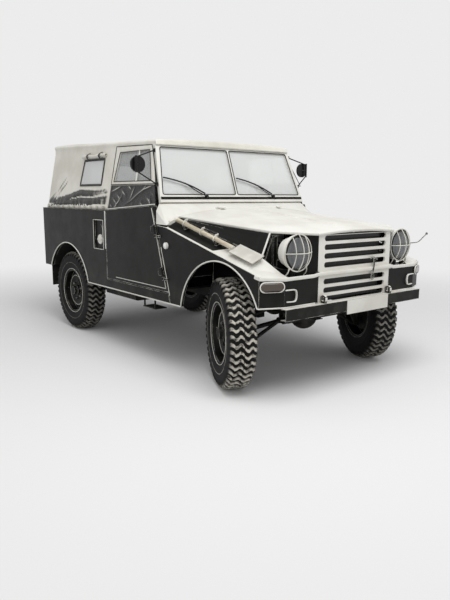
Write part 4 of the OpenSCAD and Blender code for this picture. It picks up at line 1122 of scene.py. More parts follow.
def to_plane(points):
    """(x, up the leaning plane, inwards from it) of points on either side of the car."""
    dy, dz = TOP_SIDE_Y - np.abs(points[:, 1]), points[:, 2] - BELT_Z
    c, s = math.cos(LEAN), math.sin(LEAN)
    return np.stack([points[:, 0], dz * c + dy * s, dy * c - dz * s], -1)


def from_plane(x, u, out, sign):
    """Undoes to_plane, out metres outwards instead of inwards."""
    c, s = math.cos(LEAN), math.sin(LEAN)
    x, u, out = np.broadcast_arrays(x, u, out)
    return np.stack([x, sign * (TOP_SIDE_Y + out * c - u * s), BELT_Z + out * s + u * c], -1)


def quad_corners(node):
    """Rear low, front low, front high and rear high corners of a leaning four-sided node."""
    flat = to_plane(node_points(node))
    return np.array([flat[np.argmax(flat[:, 0] * a + flat[:, 1] * b)][:2]
            for a, b in ((-1, -1), (1, -1), (1, 1.2), (-1, 1.2))])


TOP_OUTER, TOP_INNER = quad_corners("door_top_right"), quad_corners("door_pane_right")
SILL_U = TOP_INNER[0, 1] - SILL_BAR


def at_height(u):
    """Rear and front ends of the door top at a height up its plane."""
    (x0, u0), (x1, u1), (x2, u2), (x3, u3) = TOP_OUTER
    rear = x0 + (x3 - x0) * (u - u0) / (u3 - u0)
    front = np.where(u < u1, x1, x1 + (x2 - x1) * (u - u1) / (u2 - u1))
    return rear, front


def frame_ring(sign):
    """Cloth over the frame: a padded ring, from the outer outline to the window's."""
    rear, front = (float(v) for v in at_height(SILL_U))
    outer = np.array([[rear, SILL_U], [front, SILL_U], TOP_OUTER[2], TOP_OUTER[3]])
    counts = (40, 24, 40, 24)
    loops = [stations(quad, counts) for quad in (outer, TOP_INNER)]
    share = np.linspace(0, 1, 9)[:, None, None]
    flat = loops[0][None] * (1 - share) + loops[1][None] * share
    crown = 0.005 * np.sin(np.pi * share[..., 0]) ** 0.6 - 0.007 * (share[..., 0] > 0.99)
    ripple = 0.0012 * np.sin(flat[..., 0] * 70 + flat[..., 1] * 45) * np.sin(np.pi * share[..., 0])
    points = from_plane(flat[..., 0], flat[..., 1], crown + ripple, sign)
    faces = grid_faces(*points.shape[:2], False, True)
    return points.reshape(-1, 3), [faces if sign > 0 else faces[:, ::-1]]


def crumple(x, u):
    """Hard creases: narrow ridges along slanted lines, between broad hollows. Returns the
    height in metres and how near a crest each point lies, 0 to 1."""
    height, crest = np.zeros_like(x), np.zeros_like(x)
    for angle, spacing, start, deep in ((0.55, 0.072, 0.010, 0.007), (-0.35, 0.090, 0.040, 0.006),
            (1.25, 0.120, 0.065, 0.005), (-0.95, 0.135, 0.020, 0.004)):
        across = x * math.sin(angle) + u * math.cos(angle) + 0.012 * np.sin(9 * x + 13 * u)
        gap = (across + start) / spacing
        gap = np.abs(gap - np.round(gap)) * spacing
        broken = np.clip(np.sin(14 * x * math.cos(angle) - 22 * u + 5 * start / 0.01), 0, 1)
        height += deep * ridge(gap, 0.012) * broken
        crest = np.maximum(crest, ridge(gap, 0.0055) * broken)
    return height, np.clip(crest, 0, 1) ** 2


def lower_panel(sign):
    """The creased panel between the waistline and the window's sill."""
    s, t = np.meshgrid(np.linspace(0, 1, 90), np.linspace(0, 1, 34), indexing="ij")
    foot = TOP_OUTER[0, 1] + (TOP_OUTER[1, 1] - TOP_OUTER[0, 1]) * s
    u = foot + (SILL_U + 0.002 - foot) * t
    rear, front = at_height(u)
    x = rear + (front - rear) * s
    flat_edge = np.clip(np.minimum(np.minimum(s, 1 - s) / 0.06, np.minimum(t, 1 - t) / 0.10), 0, 1)
    height, crest = crumple(x, u)
    points = from_plane(x, u, height * flat_edge - 0.004 * flat_edge, sign)
    faces = grid_faces(*points.shape[:2])
    return (points.reshape(-1, 3), [faces[:, ::-1] if sign > 0 else faces]), (crest * flat_edge).ravel()


# The pale last colour is a painted highlight on the crease crests.
CREASED = woven("dark proofed cotton", "#10100f", "#191917", "#d8d6cd", 2.0, roughness=0.35, sheen=0.1)
for side, sign in SIDES.items():
    body = f"door_{side}"
    ring = piece(f"door_top_cloth_{side}", [frame_ring(sign)], canvas, body, sheet=True, sharp=60)
    box_map(ring, 0.05)
    thicken(ring, 0.012)
    shell, crest = lower_panel(sign)
    panel = piece(f"door_top_panel_{side}", [shell], CREASED, body, sheet=True, sharp=60)
    box_map(panel, crest)
    thicken(panel, 0.003)
    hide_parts(f"door_top_{side}")
    low, high = TOP_INNER[0, 1], TOP_INNER[2, 1]
    post_x = TOP_INNER[0, 0] + 0.62 * (TOP_INNER[1, 0] - TOP_INNER[0, 0])
    ends = np.array([low - 0.004, high + 0.004])
    upright = from_plane(np.array([post_x, post_x - 0.012]), ends, 0.002, sign)
    bottom = from_plane(TOP_OUTER[:2, 0] + (0.004, -0.010), TOP_OUTER[:2, 1] + 0.004, 0.003, sign)
    piece(f"door_top_bars_{side}", [tube(upright, 0.007, 10), tube(bottom, 0.0055, 10)], pale_enamel,
          body)
    beads = []
    for quad, shift, radius in ((TOP_OUTER, -0.006, 0.0032), (TOP_INNER, 0.003, 0.0030)):
        ring = inset(quad, -shift)
        if quad is TOP_OUTER:
            ring[:2, 1] = SILL_U + 0.006
            ring[0, 0] = float(at_height(SILL_U)[0]) + 0.006
        line = stations(ring, 12)
        beads.append(tube(from_plane(line[:, 0], line[:, 1], 0.0035, sign), radius, 8, up=Y, closed=True))
    piece(f"door_top_seals_{side}", beads, rubber, body)

# %% [markdown]
# ## The bonnet
# A pressed steel lid: crowned across, narrowing from the windscreen to the nose, with a
# raised rib along its middle and a rolled edge all round. Its top is one grid whose columns
# follow the rib, so the rib's two creases stay crisp while the rest stays smooth. The top is
# pale as painted light from above; the side walls are separate dark sheets that lean in to
# meet the wings.

# %% Bonnet
HINGE_X, SIDE_END_X, LIP_X = 0.704, 1.615, 1.820
BONNET_HALF = ([HINGE_X, SIDE_END_X, LIP_X], [0.696, 0.622, 0.382])
BONNET_EDGE = np.polyfit([0.704, 0.954, 1.609, 1.820], [1.166, 1.146, 1.100, 1.086], 3)
RIB_HALF, RIB_HIGH, RIB_END = (0.050, 0.016), 0.0075, 1.64


def bonnet_point(x, y, half):
    """Crown falls from 56 mm at the hinge to 16 mm at the nose, times 1 - |t|^2.2. The rib
    stands on it between two creases that draw together towards the nose."""
    t = np.clip(np.abs(y) / half, 0, 1)
    crown = 0.056 - 0.040 * (x - HINGE_X) / (1.806 - HINGE_X)
    rib = np.interp(x, [HINGE_X, RIB_END], RIB_HALF)
    on_rib = np.clip((rib + 0.006 - np.abs(y)) / 0.006, 0, 1) * np.clip((RIB_END - x) / 0.03, 0, 1)
    return np.polyval(BONNET_EDGE, x) + crown * (1 - t**2.2) + RIB_HIGH * on_rib


def bonnet_skin():
    """The top, with its rolled border: side and front edges turn down over the last columns."""
    along = steps(HINGE_X, (RIB_END - 0.03, 26), (RIB_END, 4), (LIP_X - 0.006, 8))
    rows = []
    for x in along:
        half, rib = np.interp(x, *BONNET_HALF) - 0.004, np.interp(x, [HINGE_X, RIB_END], RIB_HALF)
        y = steps(-half, (-rib - 0.006, 15), (-rib, 1), (0, 3))
        y = np.concatenate([y, -y[-2::-1]])
        z = bonnet_point(x, y, half + 0.004)
        over, down = np.array([0.0028, 0.004, 0.004]), np.array([0.0012, 0.004, 0.016])
        rows.append(np.column_stack([
            np.full(len(y) + 6, x), np.concatenate([(-half - over)[::-1], y, half + over]),
            np.concatenate([(z[0] - down)[::-1], z, z[-1] - down])]))
    rows = np.array(rows)
    front, back = rows[-1], rows[0]
    lip = [front + np.array([dx, 0, -dz]) for dx, dz in ((0.0042, 0.0012), (0.006, 0.005), (0.006, 0.018))]
    tail = [back + np.array([-dx, 0, -dz]) for dx, dz in ((0.001, 0.006), (0.0005, 0.001))]
    for extra in (*lip, *tail):
        extra[:, 2] = np.maximum(extra[:, 2], np.minimum(rows[-1, :, 2].min(), extra[:, 2] + 0.02) - 0.02)
    return np.concatenate([tail, rows, lip])


def wing_height(x, y):
    """Top of the wing beside the bonnet."""
    ridge_line = 1.121 + (0.838 - 1.121) * (x - 0.586) / (1.739 - 0.586)
    return ridge_line + 0.5 * (0.800 - y)


def bonnet_side(sign):
    """The leaning side wall, with a shallow pressed panel in its middle."""
    x, t = np.meshgrid(np.linspace(HINGE_X, SIDE_END_X, 60), np.linspace(0, 1, 16), indexing="ij")
    foot_y = np.interp(x, [0.700, 1.609], [0.704, 0.682]) + 0.006
    foot_z = wing_height(x, foot_y - 0.006) + 0.005
    top_y, top_z = np.interp(x, *BONNET_HALF) - 0.002, np.polyval(BONNET_EDGE, x) - 0.010
    within = np.clip(np.minimum((x - HINGE_X - 0.06) / 0.015, (SIDE_END_X - 0.07 - x) / 0.015), 0, 1)
    within = within * np.clip(np.minimum((t - 0.2) / 0.06, (0.82 - t) / 0.06), 0, 1)
    y = foot_y + (top_y - foot_y) * t - 0.004 * within
    points = np.stack([x, sign * y, foot_z + (top_z - foot_z) * t], -1)
    faces = grid_faces(*x.shape)
    return points.reshape(-1, 3), [faces if sign < 0 else faces[:, ::-1]]


skin = bonnet_skin()
bonnet_top = piece("bonnet_skin", [(skin.reshape(-1, 3), [grid_faces(*skin.shape[:2])])], pale_enamel,
                   "bonnet", sheet=True, sharp=24)
thicken(bonnet_top, 0.0025)
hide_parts("bonnet")
bonnet_walls = piece("bonnet_side_walls", [bonnet_side(s) for s in SIDES.values()], dark_enamel, "bonnet",
        sheet=True, sharp=24)
thicken(bonnet_walls, 0.0025)


def bonnet_fittings():
    """Flanges at the front of the side walls, the rear edge's bead and the hinge knuckles."""
    shells = []
    for sign in SIDES.values():
        foot = np.array([SIDE_END_X - 0.003, sign * 0.690, wing_height(SIDE_END_X, 0.682) + 0.010])
        top = np.array([SIDE_END_X - 0.003, sign * 0.622, np.polyval(BONNET_EDGE, SIDE_END_X) - 0.014])
        shells.append(tube(np.linspace(foot, top, 5), 0.006, 10, up=(1, 0, 0)))
        for y in (0.288, 0.312):
            barrel = [(0, 0), (0.007, 0), (0.007, 0.024), (0, 0.024)]
            shells.append(lathe(barrel, (0.700, sign * y, 1.226), Y, 20))
            shells.append(plate(round_box(0.036, 0.040, 0.006), 0.003, (0.722, sign * 0.300, 1.2195), X, Y))
    edge = skin[2, ::2].copy()
    edge[:, 2] += 0.0015
    shells.append(tube(edge, 0.003, 8))
    return shells


piece("bonnet_flanges", bonnet_fittings(), pale_enamel, "bonnet")

# %% [markdown]
# ## Wheels
# Cross-country tyres with open zigzag bars that run over the shoulder, so that mud falls
# out. A bar is a small grid: eight stations from the tread's middle to the side wall, each
# with a foot and a narrower top. The whole set is one array, turned through equal angles;
# the other half of the tread is its mirror image, half a pitch on. Bar tops carry a pale
# tone, part dry dust and part painted highlight.

# %% Tyres
PITCHES = 46
CARCASS = [(0.206, 0.071), (0.215, 0.080), (0.234, 0.086), (0.262, 0.0915), (0.274, 0.0930),
           (0.278, 0.0948), (0.282, 0.0934), (0.296, 0.0942), (0.322, 0.0935), (0.346, 0.0880),
           (0.360, 0.0790), (0.368, 0.0650), (0.3725, 0.0400), (0.3730, 0.0)]
BAR_ACROSS = np.array([0.003, 0.016, 0.029, 0.043, 0.057, 0.071, 0.083, 0.0915, 0.0935])
BAR_TOP_R = np.array([0.385, 0.385, 0.3848, 0.3842, 0.3825, 0.3780, 0.3690, 0.3560, 0.3430])
BAR_SHIFT = np.array([-0.009, 0.006, 0.010, -0.006, -0.011, 0.004, 0.009, 0.003, 0.000])
BAR_WIDTH = np.array([0.009, 0.010, 0.0105, 0.010, 0.0105, 0.0115, 0.012, 0.0115, 0.009])

WHEELS = {
    "front_right": ("wheel_front_right", "tyre_front_right",
        (-math.sin(math.radians(24)), -math.cos(math.radians(24)), 0)),
    "front_left": ("wheel_front_left", "tyre_front_left",
        (math.sin(math.radians(24)), math.cos(math.radians(24)), 0)),
    "rear_right": ("wheel_rear_right", "tyre_rear_right", (0, -1, 0)),
    "rear_left": ("wheel_rear_left", "tyre_rear_left", (0, 1, 0)),
    "spare": ("rear_door", "spare_tyre", (-1, 0, 0)),
}


def wheel_axes(outward):
    """Two directions square to the wheel's axis, and the axis itself."""
    third = unit(outward)
    return unit(np.cross(third, Z)), np.cross(third, unit(np.cross(third, Z))), third


def tread_bars(centre, outward):
    """All bars of one tyre at once: angle = pitch number x pitch + shift / radius."""
    first, second, third = wheel_axes(outward)
    shells = []
    for side, lag in ((1, 0.0), (-1, 0.5)):
        turn = 2 * np.pi * (np.arange(PITCHES) + lag) / PITCHES
        turn = turn[:, None, None]
        foot_r = BAR_TOP_R - 0.0135
        across = np.stack([BAR_ACROSS - 0.002, BAR_ACROSS, BAR_ACROSS, BAR_ACROSS - 0.002], -1)
        radius = np.stack([foot_r, BAR_TOP_R, BAR_TOP_R, foot_r], -1)
        half = np.stack([-1.15 * BAR_WIDTH, -0.86 * BAR_WIDTH, 0.86 * BAR_WIDTH, 1.15 * BAR_WIDTH], -1)
        angle = turn + (BAR_SHIFT[:, None] * side + half)[None] / radius[None]
        points = (np.asarray(centre) + (radius * np.cos(angle))[..., None] * first
                  + (radius * np.sin(angle))[..., None] * second + (side * across)[None, ..., None] * third)
        one = [grid_faces(len(BAR_ACROSS), 4, False, True), np.arange(4)[None],
               4 * (len(BAR_ACROSS) - 1) + np.arange(4)[None, ::-1]]
        start = (np.arange(PITCHES) * points.shape[1] * 4)[:, None, None]
        shells.append((points.reshape(-1, 3), [(f[None] + start).reshape(-1, f.shape[1]) for f in one]))
    return shells


def tyre_rubber():
    """Black rubber, scuffed brown-grey; the pale share, part dust and part painted highlight, is stored on
    the mesh.
    """
    made, tree, shader = new_material("tyre rubber", "#0b0b0b", 0.75, **{"Specular IOR Level": 0.25})
    where = add(tree, "ShaderNodeTexCoord").outputs["Object"]
    dust_and_highlight = add(tree, "ShaderNodeAttribute", attribute_name="dust_and_highlight").outputs["Fac"]
    share = product(tree, dust_and_highlight, ramp(tree, noise(tree, where, 34, 4), 0.30, 0.55))
    base = mix(tree, ramp(tree, noise(tree, where, 12), 0.4, 0.7), "#090909", "#141413")
    tree.links.new(mix(tree, share, base, "#c2beb3"), shader.inputs["Base Color"])
    bump = add(tree, "ShaderNodeBump", {"Height": noise(tree, where, 320, 3), "Strength": 0.3,
            "Distance": 0.0008})
    tree.links.new(bump.outputs[0], shader.inputs["Normal"])
    return made


def mark_dust_and_highlight(made, centre, outward, share):
    """Pale on bar tops, part dust and part painted highlight, and a painted highlight on the thin
    ring moulded round the outer side wall. The wheel that is turned into the light gets the
    most of it, as painted light."""
    points = np.zeros(3 * len(made.data.vertices))
    made.data.vertices.foreach_get("co", points)
    arm = points.reshape(-1, 3) - np.asarray(centre)
    across = arm @ unit(outward)
    radius = np.linalg.norm(arm - across[:, None] * unit(outward), axis=1)
    top_r = np.interp(np.abs(across), BAR_ACROSS, BAR_TOP_R)
    dust_and_highlight = np.clip((radius - top_r + 0.004) / 0.003, 0, 1) * np.clip((0.092 - np.abs(across)) / 0.012, 0, 1)
    dust_and_highlight = np.maximum(dust_and_highlight, ((np.abs(radius - 0.278) < 0.0015) & (across > 0)) * 0.8)
    layer = made.data.attributes.new("dust_and_highlight", "FLOAT", "POINT")
    layer.data.foreach_set("value", (share * dust_and_highlight).astype(np.float32))


TYRE_RUBBER = tyre_rubber()
both_sides = CARCASS + [(r, -w) for r, w in CARCASS[-2::-1]]
for name, (body, node, outward) in WHEELS.items():
    centre = np.mean(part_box(node), axis=0)
    made = piece(f"tyre_tread_{name}", [lathe(both_sides, centre, outward, 92), *tread_bars(centre, outward)],
                 TYRE_RUBBER, body, sharp=30)
    # The front right wheel, turned to the light, gets the full pale share as painted light.
    mark_dust_and_highlight(made, centre, outward, 1.0 if name == "front_right" else 0.45)
    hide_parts(node)

# %% [markdown]
# Each rim is bolted on with six nuts round a domed cap, and its edge carries a pale painted
# highlight. The nuts are one small hexagon turned on a lathe of six sides, copied round the hub.

# %% Wheel nuts, valves and painted highlight rings
def wheel_fittings(centre, outward):
    """Nuts with their studs and the valve, on the outer face of the disc."""
    first, second, third = wheel_axes(outward)
    ring = 2 * np.pi * np.arange(6) / 6 + 0.3
    spots = centre + 0.084 * (np.cos(ring)[:, None] * first + np.sin(ring)[:, None] * second) + 0.031 * third
    nut = [(0, 0), (0.0135, 0), (0.0135, 0.010), (0.0115, 0.013)]
    nut += [(0.006, 0.0132), (0.006, 0.019), (0, 0.0195)]          # the stud that stands out of it
    shells = [lathe(nut, spot, outward, 6) for spot in spots]
    valve = centre + 0.185 * first + 0.020 * third
    shells.append(lathe([(0, 0), (0.0055, 0), (0.0055, 0.02), (0.004, 0.03), (0, 0.03)], valve, outward, 12))
    return shells


def rim_highlight_rings(centre, outward):
    """Painted highlight rings: round the rim's flange, the disc's crease and the hub."""
    third = unit(outward)
    shells = []
    for radius, across, thick in ((0.2165, 0.0835, 0.0022), (0.147, 0.0425, 0.0024), (0.0575, 0.0325, 0.002)):
        loop = lathe([(radius, 0.0)], np.asarray(centre) + across * third, outward, 96)[0]
        shells.append(tube(loop, thick, 8, up=third, closed=True))
    return shells


for name, (body, node, outward) in WHEELS.items():
    centre = np.mean(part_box(node), axis=0)
    if name != "spare":
        piece(f"wheel_nuts_{name}", wheel_fittings(centre, outward), wheel_enamel, body)
    else:
        nuts = wheel_fittings(centre, outward)[:6]
        piece("spare_nuts", nuts, bright_steel, body)
    piece(f"rim_edges_{name}", rim_highlight_rings(centre, outward)[:2], pale_steel_and_highlight, body)

# %% [markdown]
# ## Lips, beads and door lines
# Steel edges are turned over, and a pale tube along them is a painted highlight, so
# each wheel arch, the sill and the front apron show one bright line. It is one tube a side
# that follows the arches' circles and the straight edges between them.

# %% Arch lips, sill and apron
HALF_WIDTH, NOSE_X, WING_END_X, NOSE_HALF, FRONT_HALF = 0.824, 1.806, 1.739, 0.368, 0.672
SILL_Z, APRON_Z, LIP_Z, DOOR_Z = 0.522, 0.634, 0.806, 0.604


def arc(centre_x, centre_z, radius, start, end, count=40):
    """Points of a circle in an X, Z plane, from one height to another over its top."""
    a = math.pi - math.asin((start - centre_z) / radius)
    angle = np.linspace(a, math.asin((end - centre_z) / radius), count)
    x, z = centre_x + radius * np.cos(angle), centre_z + radius * np.sin(angle)
    return np.column_stack([x, np.zeros(count), z])


def body_lip(sign):
    """Rear arch, sill, front arch, then round the front corner to the grille."""
    side = np.concatenate([arc(-1.075, 0.401, 0.460, 0.602, SILL_Z),
            arc(1.325, 0.452, 0.440, SILL_Z, APRON_Z),
            [[WING_END_X - 0.004, 0, APRON_Z]]])
    side[:, 1] = HALF_WIDTH + 0.001
    front = [[NOSE_X + 0.001, FRONT_HALF, APRON_Z], [NOSE_X + 0.001, NOSE_HALF + 0.03, APRON_Z]]
    path = np.concatenate([side, front])
    path[:, 1] *= sign
    return tube(path, 0.0052, 10)


def edge_x(z):
    """The sloping line of the doors' front edges."""
    return 0.714 - 0.317 * (z - DOOR_Z)


def ledge_rail():
    """The turned lip that runs from wing to wing across the grille."""
    half = [[1.700, HALF_WIDTH + 0.001, 0.829], [WING_END_X + 0.003, HALF_WIDTH - 0.004, 0.818],
            [NOSE_X + 0.003, FRONT_HALF, 0.812], [NOSE_X + 0.004, 0.415, 0.814],
            [NOSE_X + 0.013, 0.385, 0.822], [NOSE_X + 0.014, 0.20, 0.822]]
    path = np.array(half + [[x, -y, z] for x, y, z in half[::-1]])
    return sweep(path, round_box(0.010, 0.024, 0.0048, 4))


def door_lines(sign):
    """Painted highlight strips along the door's foot and its front edge."""
    y = sign * (HALF_WIDTH + 0.0012)
    foot = np.array([[x, y, DOOR_Z + 0.026] for x in np.linspace(-0.085, edge_x(DOOR_Z + 0.026) - 0.012, 6)])
    front = np.array([[edge_x(z) - 0.010, y, z] for z in np.linspace(DOOR_Z + 0.026, 1.222, 10)])
    return [tube(foot, 0.0028, 8), tube(front, 0.0028, 8)]


lips = [body_lip(s) for s in SIDES.values()] + [ledge_rail()]
# Painted highlight lines by the doors' front and rear edges.
for sign in SIDES.values():
    y = sign * (HALF_WIDTH + 0.0012)
    line = np.array([[edge_x(z) + 0.026, y, z] for z in np.linspace(DOOR_Z - 0.02, 0.935, 8)])
    lips.append(tube(line, 0.0026, 8))
    line = np.array([[DOOR_X - 0.008, y, z] for z in np.linspace(0.86, 1.184, 6)])
    lips.append(tube(line, 0.0050, 8, up=X))
piece("body_lips", lips, pale_enamel)
for side, sign in SIDES.items():
    piece(f"door_lines_{side}", door_lines(sign), pale_enamel, f"door_{side}")

# %% [markdown]
# ## Lamps
# The headlamp's glass is a shallow dome with pressed flutes over a mirror bowl. Three
# upright wires and one across guard it; each bulges forward as a parabola and is welded to
# a ring. The corner lamps are long ovals, the side and tail lamps small round domes.

# %% Headlamps and their guards
LAMP = np.array([1.646, 0.532, 0.966])
GUARD_X, GUARD_R, BULGE = 1.779, 0.117, 0.050


def lamp_lens(sign):
    """Glass dome in front of the bowl."""
    profile = [(0.101, 0.1315), (0.098, 0.1355), (0.080, 0.1410), (0.055, 0.1445), (0.028, 0.1468),
               (0.0, 0.1475)]
    return lathe(profile, LAMP * (1, sign, 1), X, 48)


def lamp_guard(sign):
    """Ring, three upright wires, one across, and two feet on the ledge."""
    centre = np.array([GUARD_X, sign * LAMP[1], LAMP[2]])
    ring = centre + np.column_stack([np.zeros(64), circle(GUARD_R, 64)])
    shells = [tube(ring, 0.0042, 10, up=X, closed=True)]
    for offset in (-0.056, 0.0, 0.056):
        reach = math.sqrt(GUARD_R**2 - offset**2)
        t = np.linspace(-1, 1, 21)
        bulge = BULGE * (1 - t**2) * (reach / GUARD_R) ** 2
        wire = centre + np.column_stack([bulge, np.full(21, offset), reach * t])
        shells.append(tube(wire, 0.0034, 8, up=Y))
    t = np.linspace(-1, 1, 25)
    across = np.column_stack([BULGE * (1 - t**2) + 0.004, GUARD_R * t, np.zeros(25)])
    shells.append(tube(centre + across, 0.0034, 8))
    for offset in (-0.075, 0.075):
        foot = smooth_path(centre + [(0, offset, -0.088), (-0.006, offset * 1.1, -0.120),
                                     (-0.034, offset * 1.15, -0.150), (-0.050, offset * 1.15, -0.1585)], 12)
        shells.append(tube(foot, 0.0036, 8, up=Y))
    return shells


bowl_glass = lens("headlamp glass over its mirror", "#5f6264", 95, roughness=0.16, Metallic=0.75)
piece("headlamp_glass", [lamp_lens(s) for s in SIDES.values()], bowl_glass, sharp=60)
RIM_PROFILE = [(0.112, 0.126), (0.1145, 0.129), (0.113, 0.1345), (0.103, 0.1385), (0.0985, 0.1375),
               (0.0985, 0.134)]
lamp_rims = [lathe(RIM_PROFILE, LAMP * (1, s, 1), X, 56) for s in SIDES.values()]
piece("headlamp_rims", lamp_rims, dark_enamel, sharp=50)
piece("headlamp_guards", [shell for s in SIDES.values() for shell in lamp_guard(s)], pale_steel_and_highlight)

# %% Corner, side and tail lamps
CORNER_OUT = unit([0.152, 0.067, 0.0])
CORNER_AT = np.array([(WING_END_X + NOSE_X) / 2, (HALF_WIDTH + FRONT_HALF) / 2, 0.768])


def corner_lamp(sign):
    """A long oval glass and its bezel on the slanted face between wing and nose."""
    out = CORNER_OUT * (1, sign, 1)
    level = np.array([-out[1], out[0], 0.0])
    spot = CORNER_AT * (1, sign, 1)
    glass = plate(round_box(0.146, 0.050, 0.0249, 10), 0.019, spot, level, Z, 0.004)
    loop = np.column_stack([round_box(0.156, 0.060, 0.0299, 12), np.full(48, 0.012)])
    loop = put(loop, spot, level, Z, out)
    return glass, tube(loop, 0.0042, 8, up=out, closed=True)


glasses, bezels = zip(*(corner_lamp(s) for s in SIDES.values()))
piece("corner_lamp_glass", list(glasses), smoked_glass)
side_glass = []
for sign in SIDES.values():
    spot = np.array([0.711, sign * 0.838, 0.953])
    dome = [(0.0215, 0), (0.0215, 0.003), (0.015, 0.007), (0.0, 0.009)]
    side_glass.append(lathe(dome, spot, Y * sign, 28))
piece("side_lamp_glass", side_glass, clear_glass)
piece("corner_lamp_bezels", list(bezels), pale_enamel)
tail, tail_rims = [], []
for sign in SIDES.values():
    for z in (0.800, 0.900):
        spot = np.array([-1.667, sign * 0.690, z])
        tail.append(lathe([(0.031, -0.001), (0.031, 0.003), (0.022, 0.008), (0.0, 0.010)], spot, -X, 32))
        rim = [(0.0315, 0), (0.0315, 0.0035), (0.0365, 0.003), (0.0368, -0.004)]
        tail_rims.append(lathe(rim, spot, -X, 32))
piece("tail_lamp_glass", tail, red_glass)
piece("tail_lamp_rims", tail_rims, rubber)

# %% [markdown]
# ## Windscreen, wipers and mirrors
# Both panes sit in black rubber, and a thick rubber lip closes the gap to the cowl. The
# panes lean back, so the fittings are placed on their plane: across, and up along it. The
# wiper blades bow a little, as they do when they rest on flat glass.

# %% Windscreen fittings
SCREEN_LEAN = math.atan(149 / 412)
SCREEN_UP = np.array([-math.sin(SCREEN_LEAN), 0, math.cos(SCREEN_LEAN)])
SCREEN_OUT = np.array([math.cos(SCREEN_LEAN), 0, math.sin(SCREEN_LEAN)])
SCREEN_FOOT = np.array([0.500, 0, 1.301])


def on_screen(y, up, out=0.028):
    """The point of the windscreen at y and so far up its plane, out in front of its back."""
    y, up, out = np.broadcast_arrays(np.asarray(y, float), up, out)
    return SCREEN_FOOT + y[..., None] * Y + up[..., None] * SCREEN_UP + out[..., None] * SCREEN_OUT


def pane_seal(sign):
    """Rubber round one pane: the outline in (y, up), rounded at its corners, swept."""
    corners = [(0.011, 0.016), (0.728, 0.016), (0.670, 0.402), (0.011, 0.402)]
    path = []
    for k, here in enumerate(corners):
        here, before, after = (np.array(c) for c in (here, corners[k - 1], corners[(k + 1) % 4]))
        a, b = here + unit(before - here) * 0.014, here + unit(after - here) * 0.014
        path += [a, (a + b + 2 * here) / 4, b]
        path += [b + (after - b) * f for f in (0.25, 0.5, 0.75)]
    path = np.array(path)
    return sweep(on_screen(sign * path[:, 0], path[:, 1], 0.029), round_box(0.007, 0.006, 0.0025, 3),
                 up=SCREEN_OUT, closed=True)


foot_lip = sweep(on_screen(np.linspace(-0.752, 0.752, 9), -0.014, 0.030), round_box(0.020, 0.008, 0.0035, 4),
        up=SCREEN_OUT)
piece("windscreen_rubber", [pane_seal(1), pane_seal(-1), foot_lip], rubber)


def wiper(pivot_y, tip_y, tip_up):
    """Pivot boss, a sprung arm and a bowed blade."""
    pivot, tip = on_screen(pivot_y, -0.004, 0.040), on_screen(tip_y, tip_up, 0.036)
    inner = on_screen(pivot_y - 0.010, 0.022, 0.036)
    middle = (tip + inner) / 2 + 0.020 * SCREEN_UP
    blade = smooth_path([inner, (inner + middle) / 2 + 0.006 * SCREEN_UP, middle,
            (middle + tip) / 2 + 0.004 * SCREEN_UP, tip], 24)
    arm = smooth_path([pivot, (pivot + middle) / 2 + 0.010 * SCREEN_OUT - 0.012 * SCREEN_UP,
            middle + 0.008 * SCREEN_OUT], 14)
    return [sweep(blade, round_box(0.0085, 0.011, 0.002, 3), up=SCREEN_OUT),
            tube(arm, 0.0038, 8, up=SCREEN_OUT),
            lathe([(0.0, 0.014), (0.010, 0.012), (0.013, 0.004), (0.013, -0.012)], pivot, SCREEN_OUT, 18)]


wipers = wiper(-0.324, -0.700, 0.150) + wiper(0.401, 0.027, 0.158)
piece("wipers", wipers, bakelite)
disc = [(0.0, 0.0), (0.054, 0.0), (0.0575, -0.001), (0.0575, -0.004)]
mirror_discs = [lathe(disc, (0.3975, s * 0.878, 1.550), -X, 40) for s in SIDES.values()]
piece("mirror_glass", mirror_discs, mirror_silver)

# %% [markdown]
# ## Small fittings outside
# A feeler rod on the left ledge tells the driver where the corner is. A strap and hook hold
# the bonnet to the grille. C-shaped brackets under the corner lamps take a tow rope's end.
# The filler's cap sits in its recess behind the right door. All are bars and small plates.

# %% Feeler rod, bonnet strap, brackets, filler and tools
rod = smooth_path([(1.738, 0.655, LIP_Z), (1.742, 0.652, 0.900), (1.745, 0.655, 0.955), (1.745, 0.700, 0.968),
        (1.745, 0.800, 0.972), (1.745, 0.862, 1.002), (1.745, 0.914, 1.032)], 40)
knob = lathe([(0.0, -0.010), (0.006, -0.008), (0.0095, 0.0), (0.006, 0.008), (0.0, 0.010)], rod[-1], Z, 16)
foot = lathe([(0.014, 0.0), (0.014, 0.006), (0.008, 0.012), (0.006, 0.030)], (1.738, 0.655, LIP_Z), Z, 18)
piece("feeler_rod", [tube(rod, 0.0036, 8, up=X), knob, foot], dark_enamel)


def bonnet_strap():
    """A spring strap from the bonnet's lip down the grille, with a looped grip at its foot."""
    t = np.linspace(0, 1, 22)
    x, y = 1.8205 + 0.006 * np.sin(np.pi * t), 0.172 - 0.012 * t + 0.004 * np.sin(5 * t)
    line = np.column_stack([x, y, 0.905 - 0.150 * t])
    shells = [sweep(line, round_box(0.016, 0.003, 0.0012, 3), up=X)]
    loop = np.array([1.824, 0.160, 0.768]) + np.column_stack([np.zeros(24), circle(0.017, 24, 1.3)])
    shells.append(tube(loop, 0.0034, 8, up=X, closed=True))
    cross = np.array([[1.8225, 0.135, 0.893], [1.8225, 0.160, 0.900], [1.8225, 0.205, 0.884]])
    shells.append(tube(smooth_path(cross, 10), 0.0045, 8, up=X))
    return shells


piece("bonnet_strap", bonnet_strap(), dark_enamel)
top_line = np.array([[1.772, y, 1.074 - 0.09 * y * y] for y in np.linspace(0.335, -0.335, 15)])
baffle = np.concatenate([[[-0.335, 1.040], [0.335, 1.040]], top_line[:, 1:]])
baffle = plate(baffle, 0.003, (1.7705, 0, 0), Y, Z, 0.001)
piece("radiator_baffle", [baffle, tube(top_line, 0.0035, 8)], bakelite)


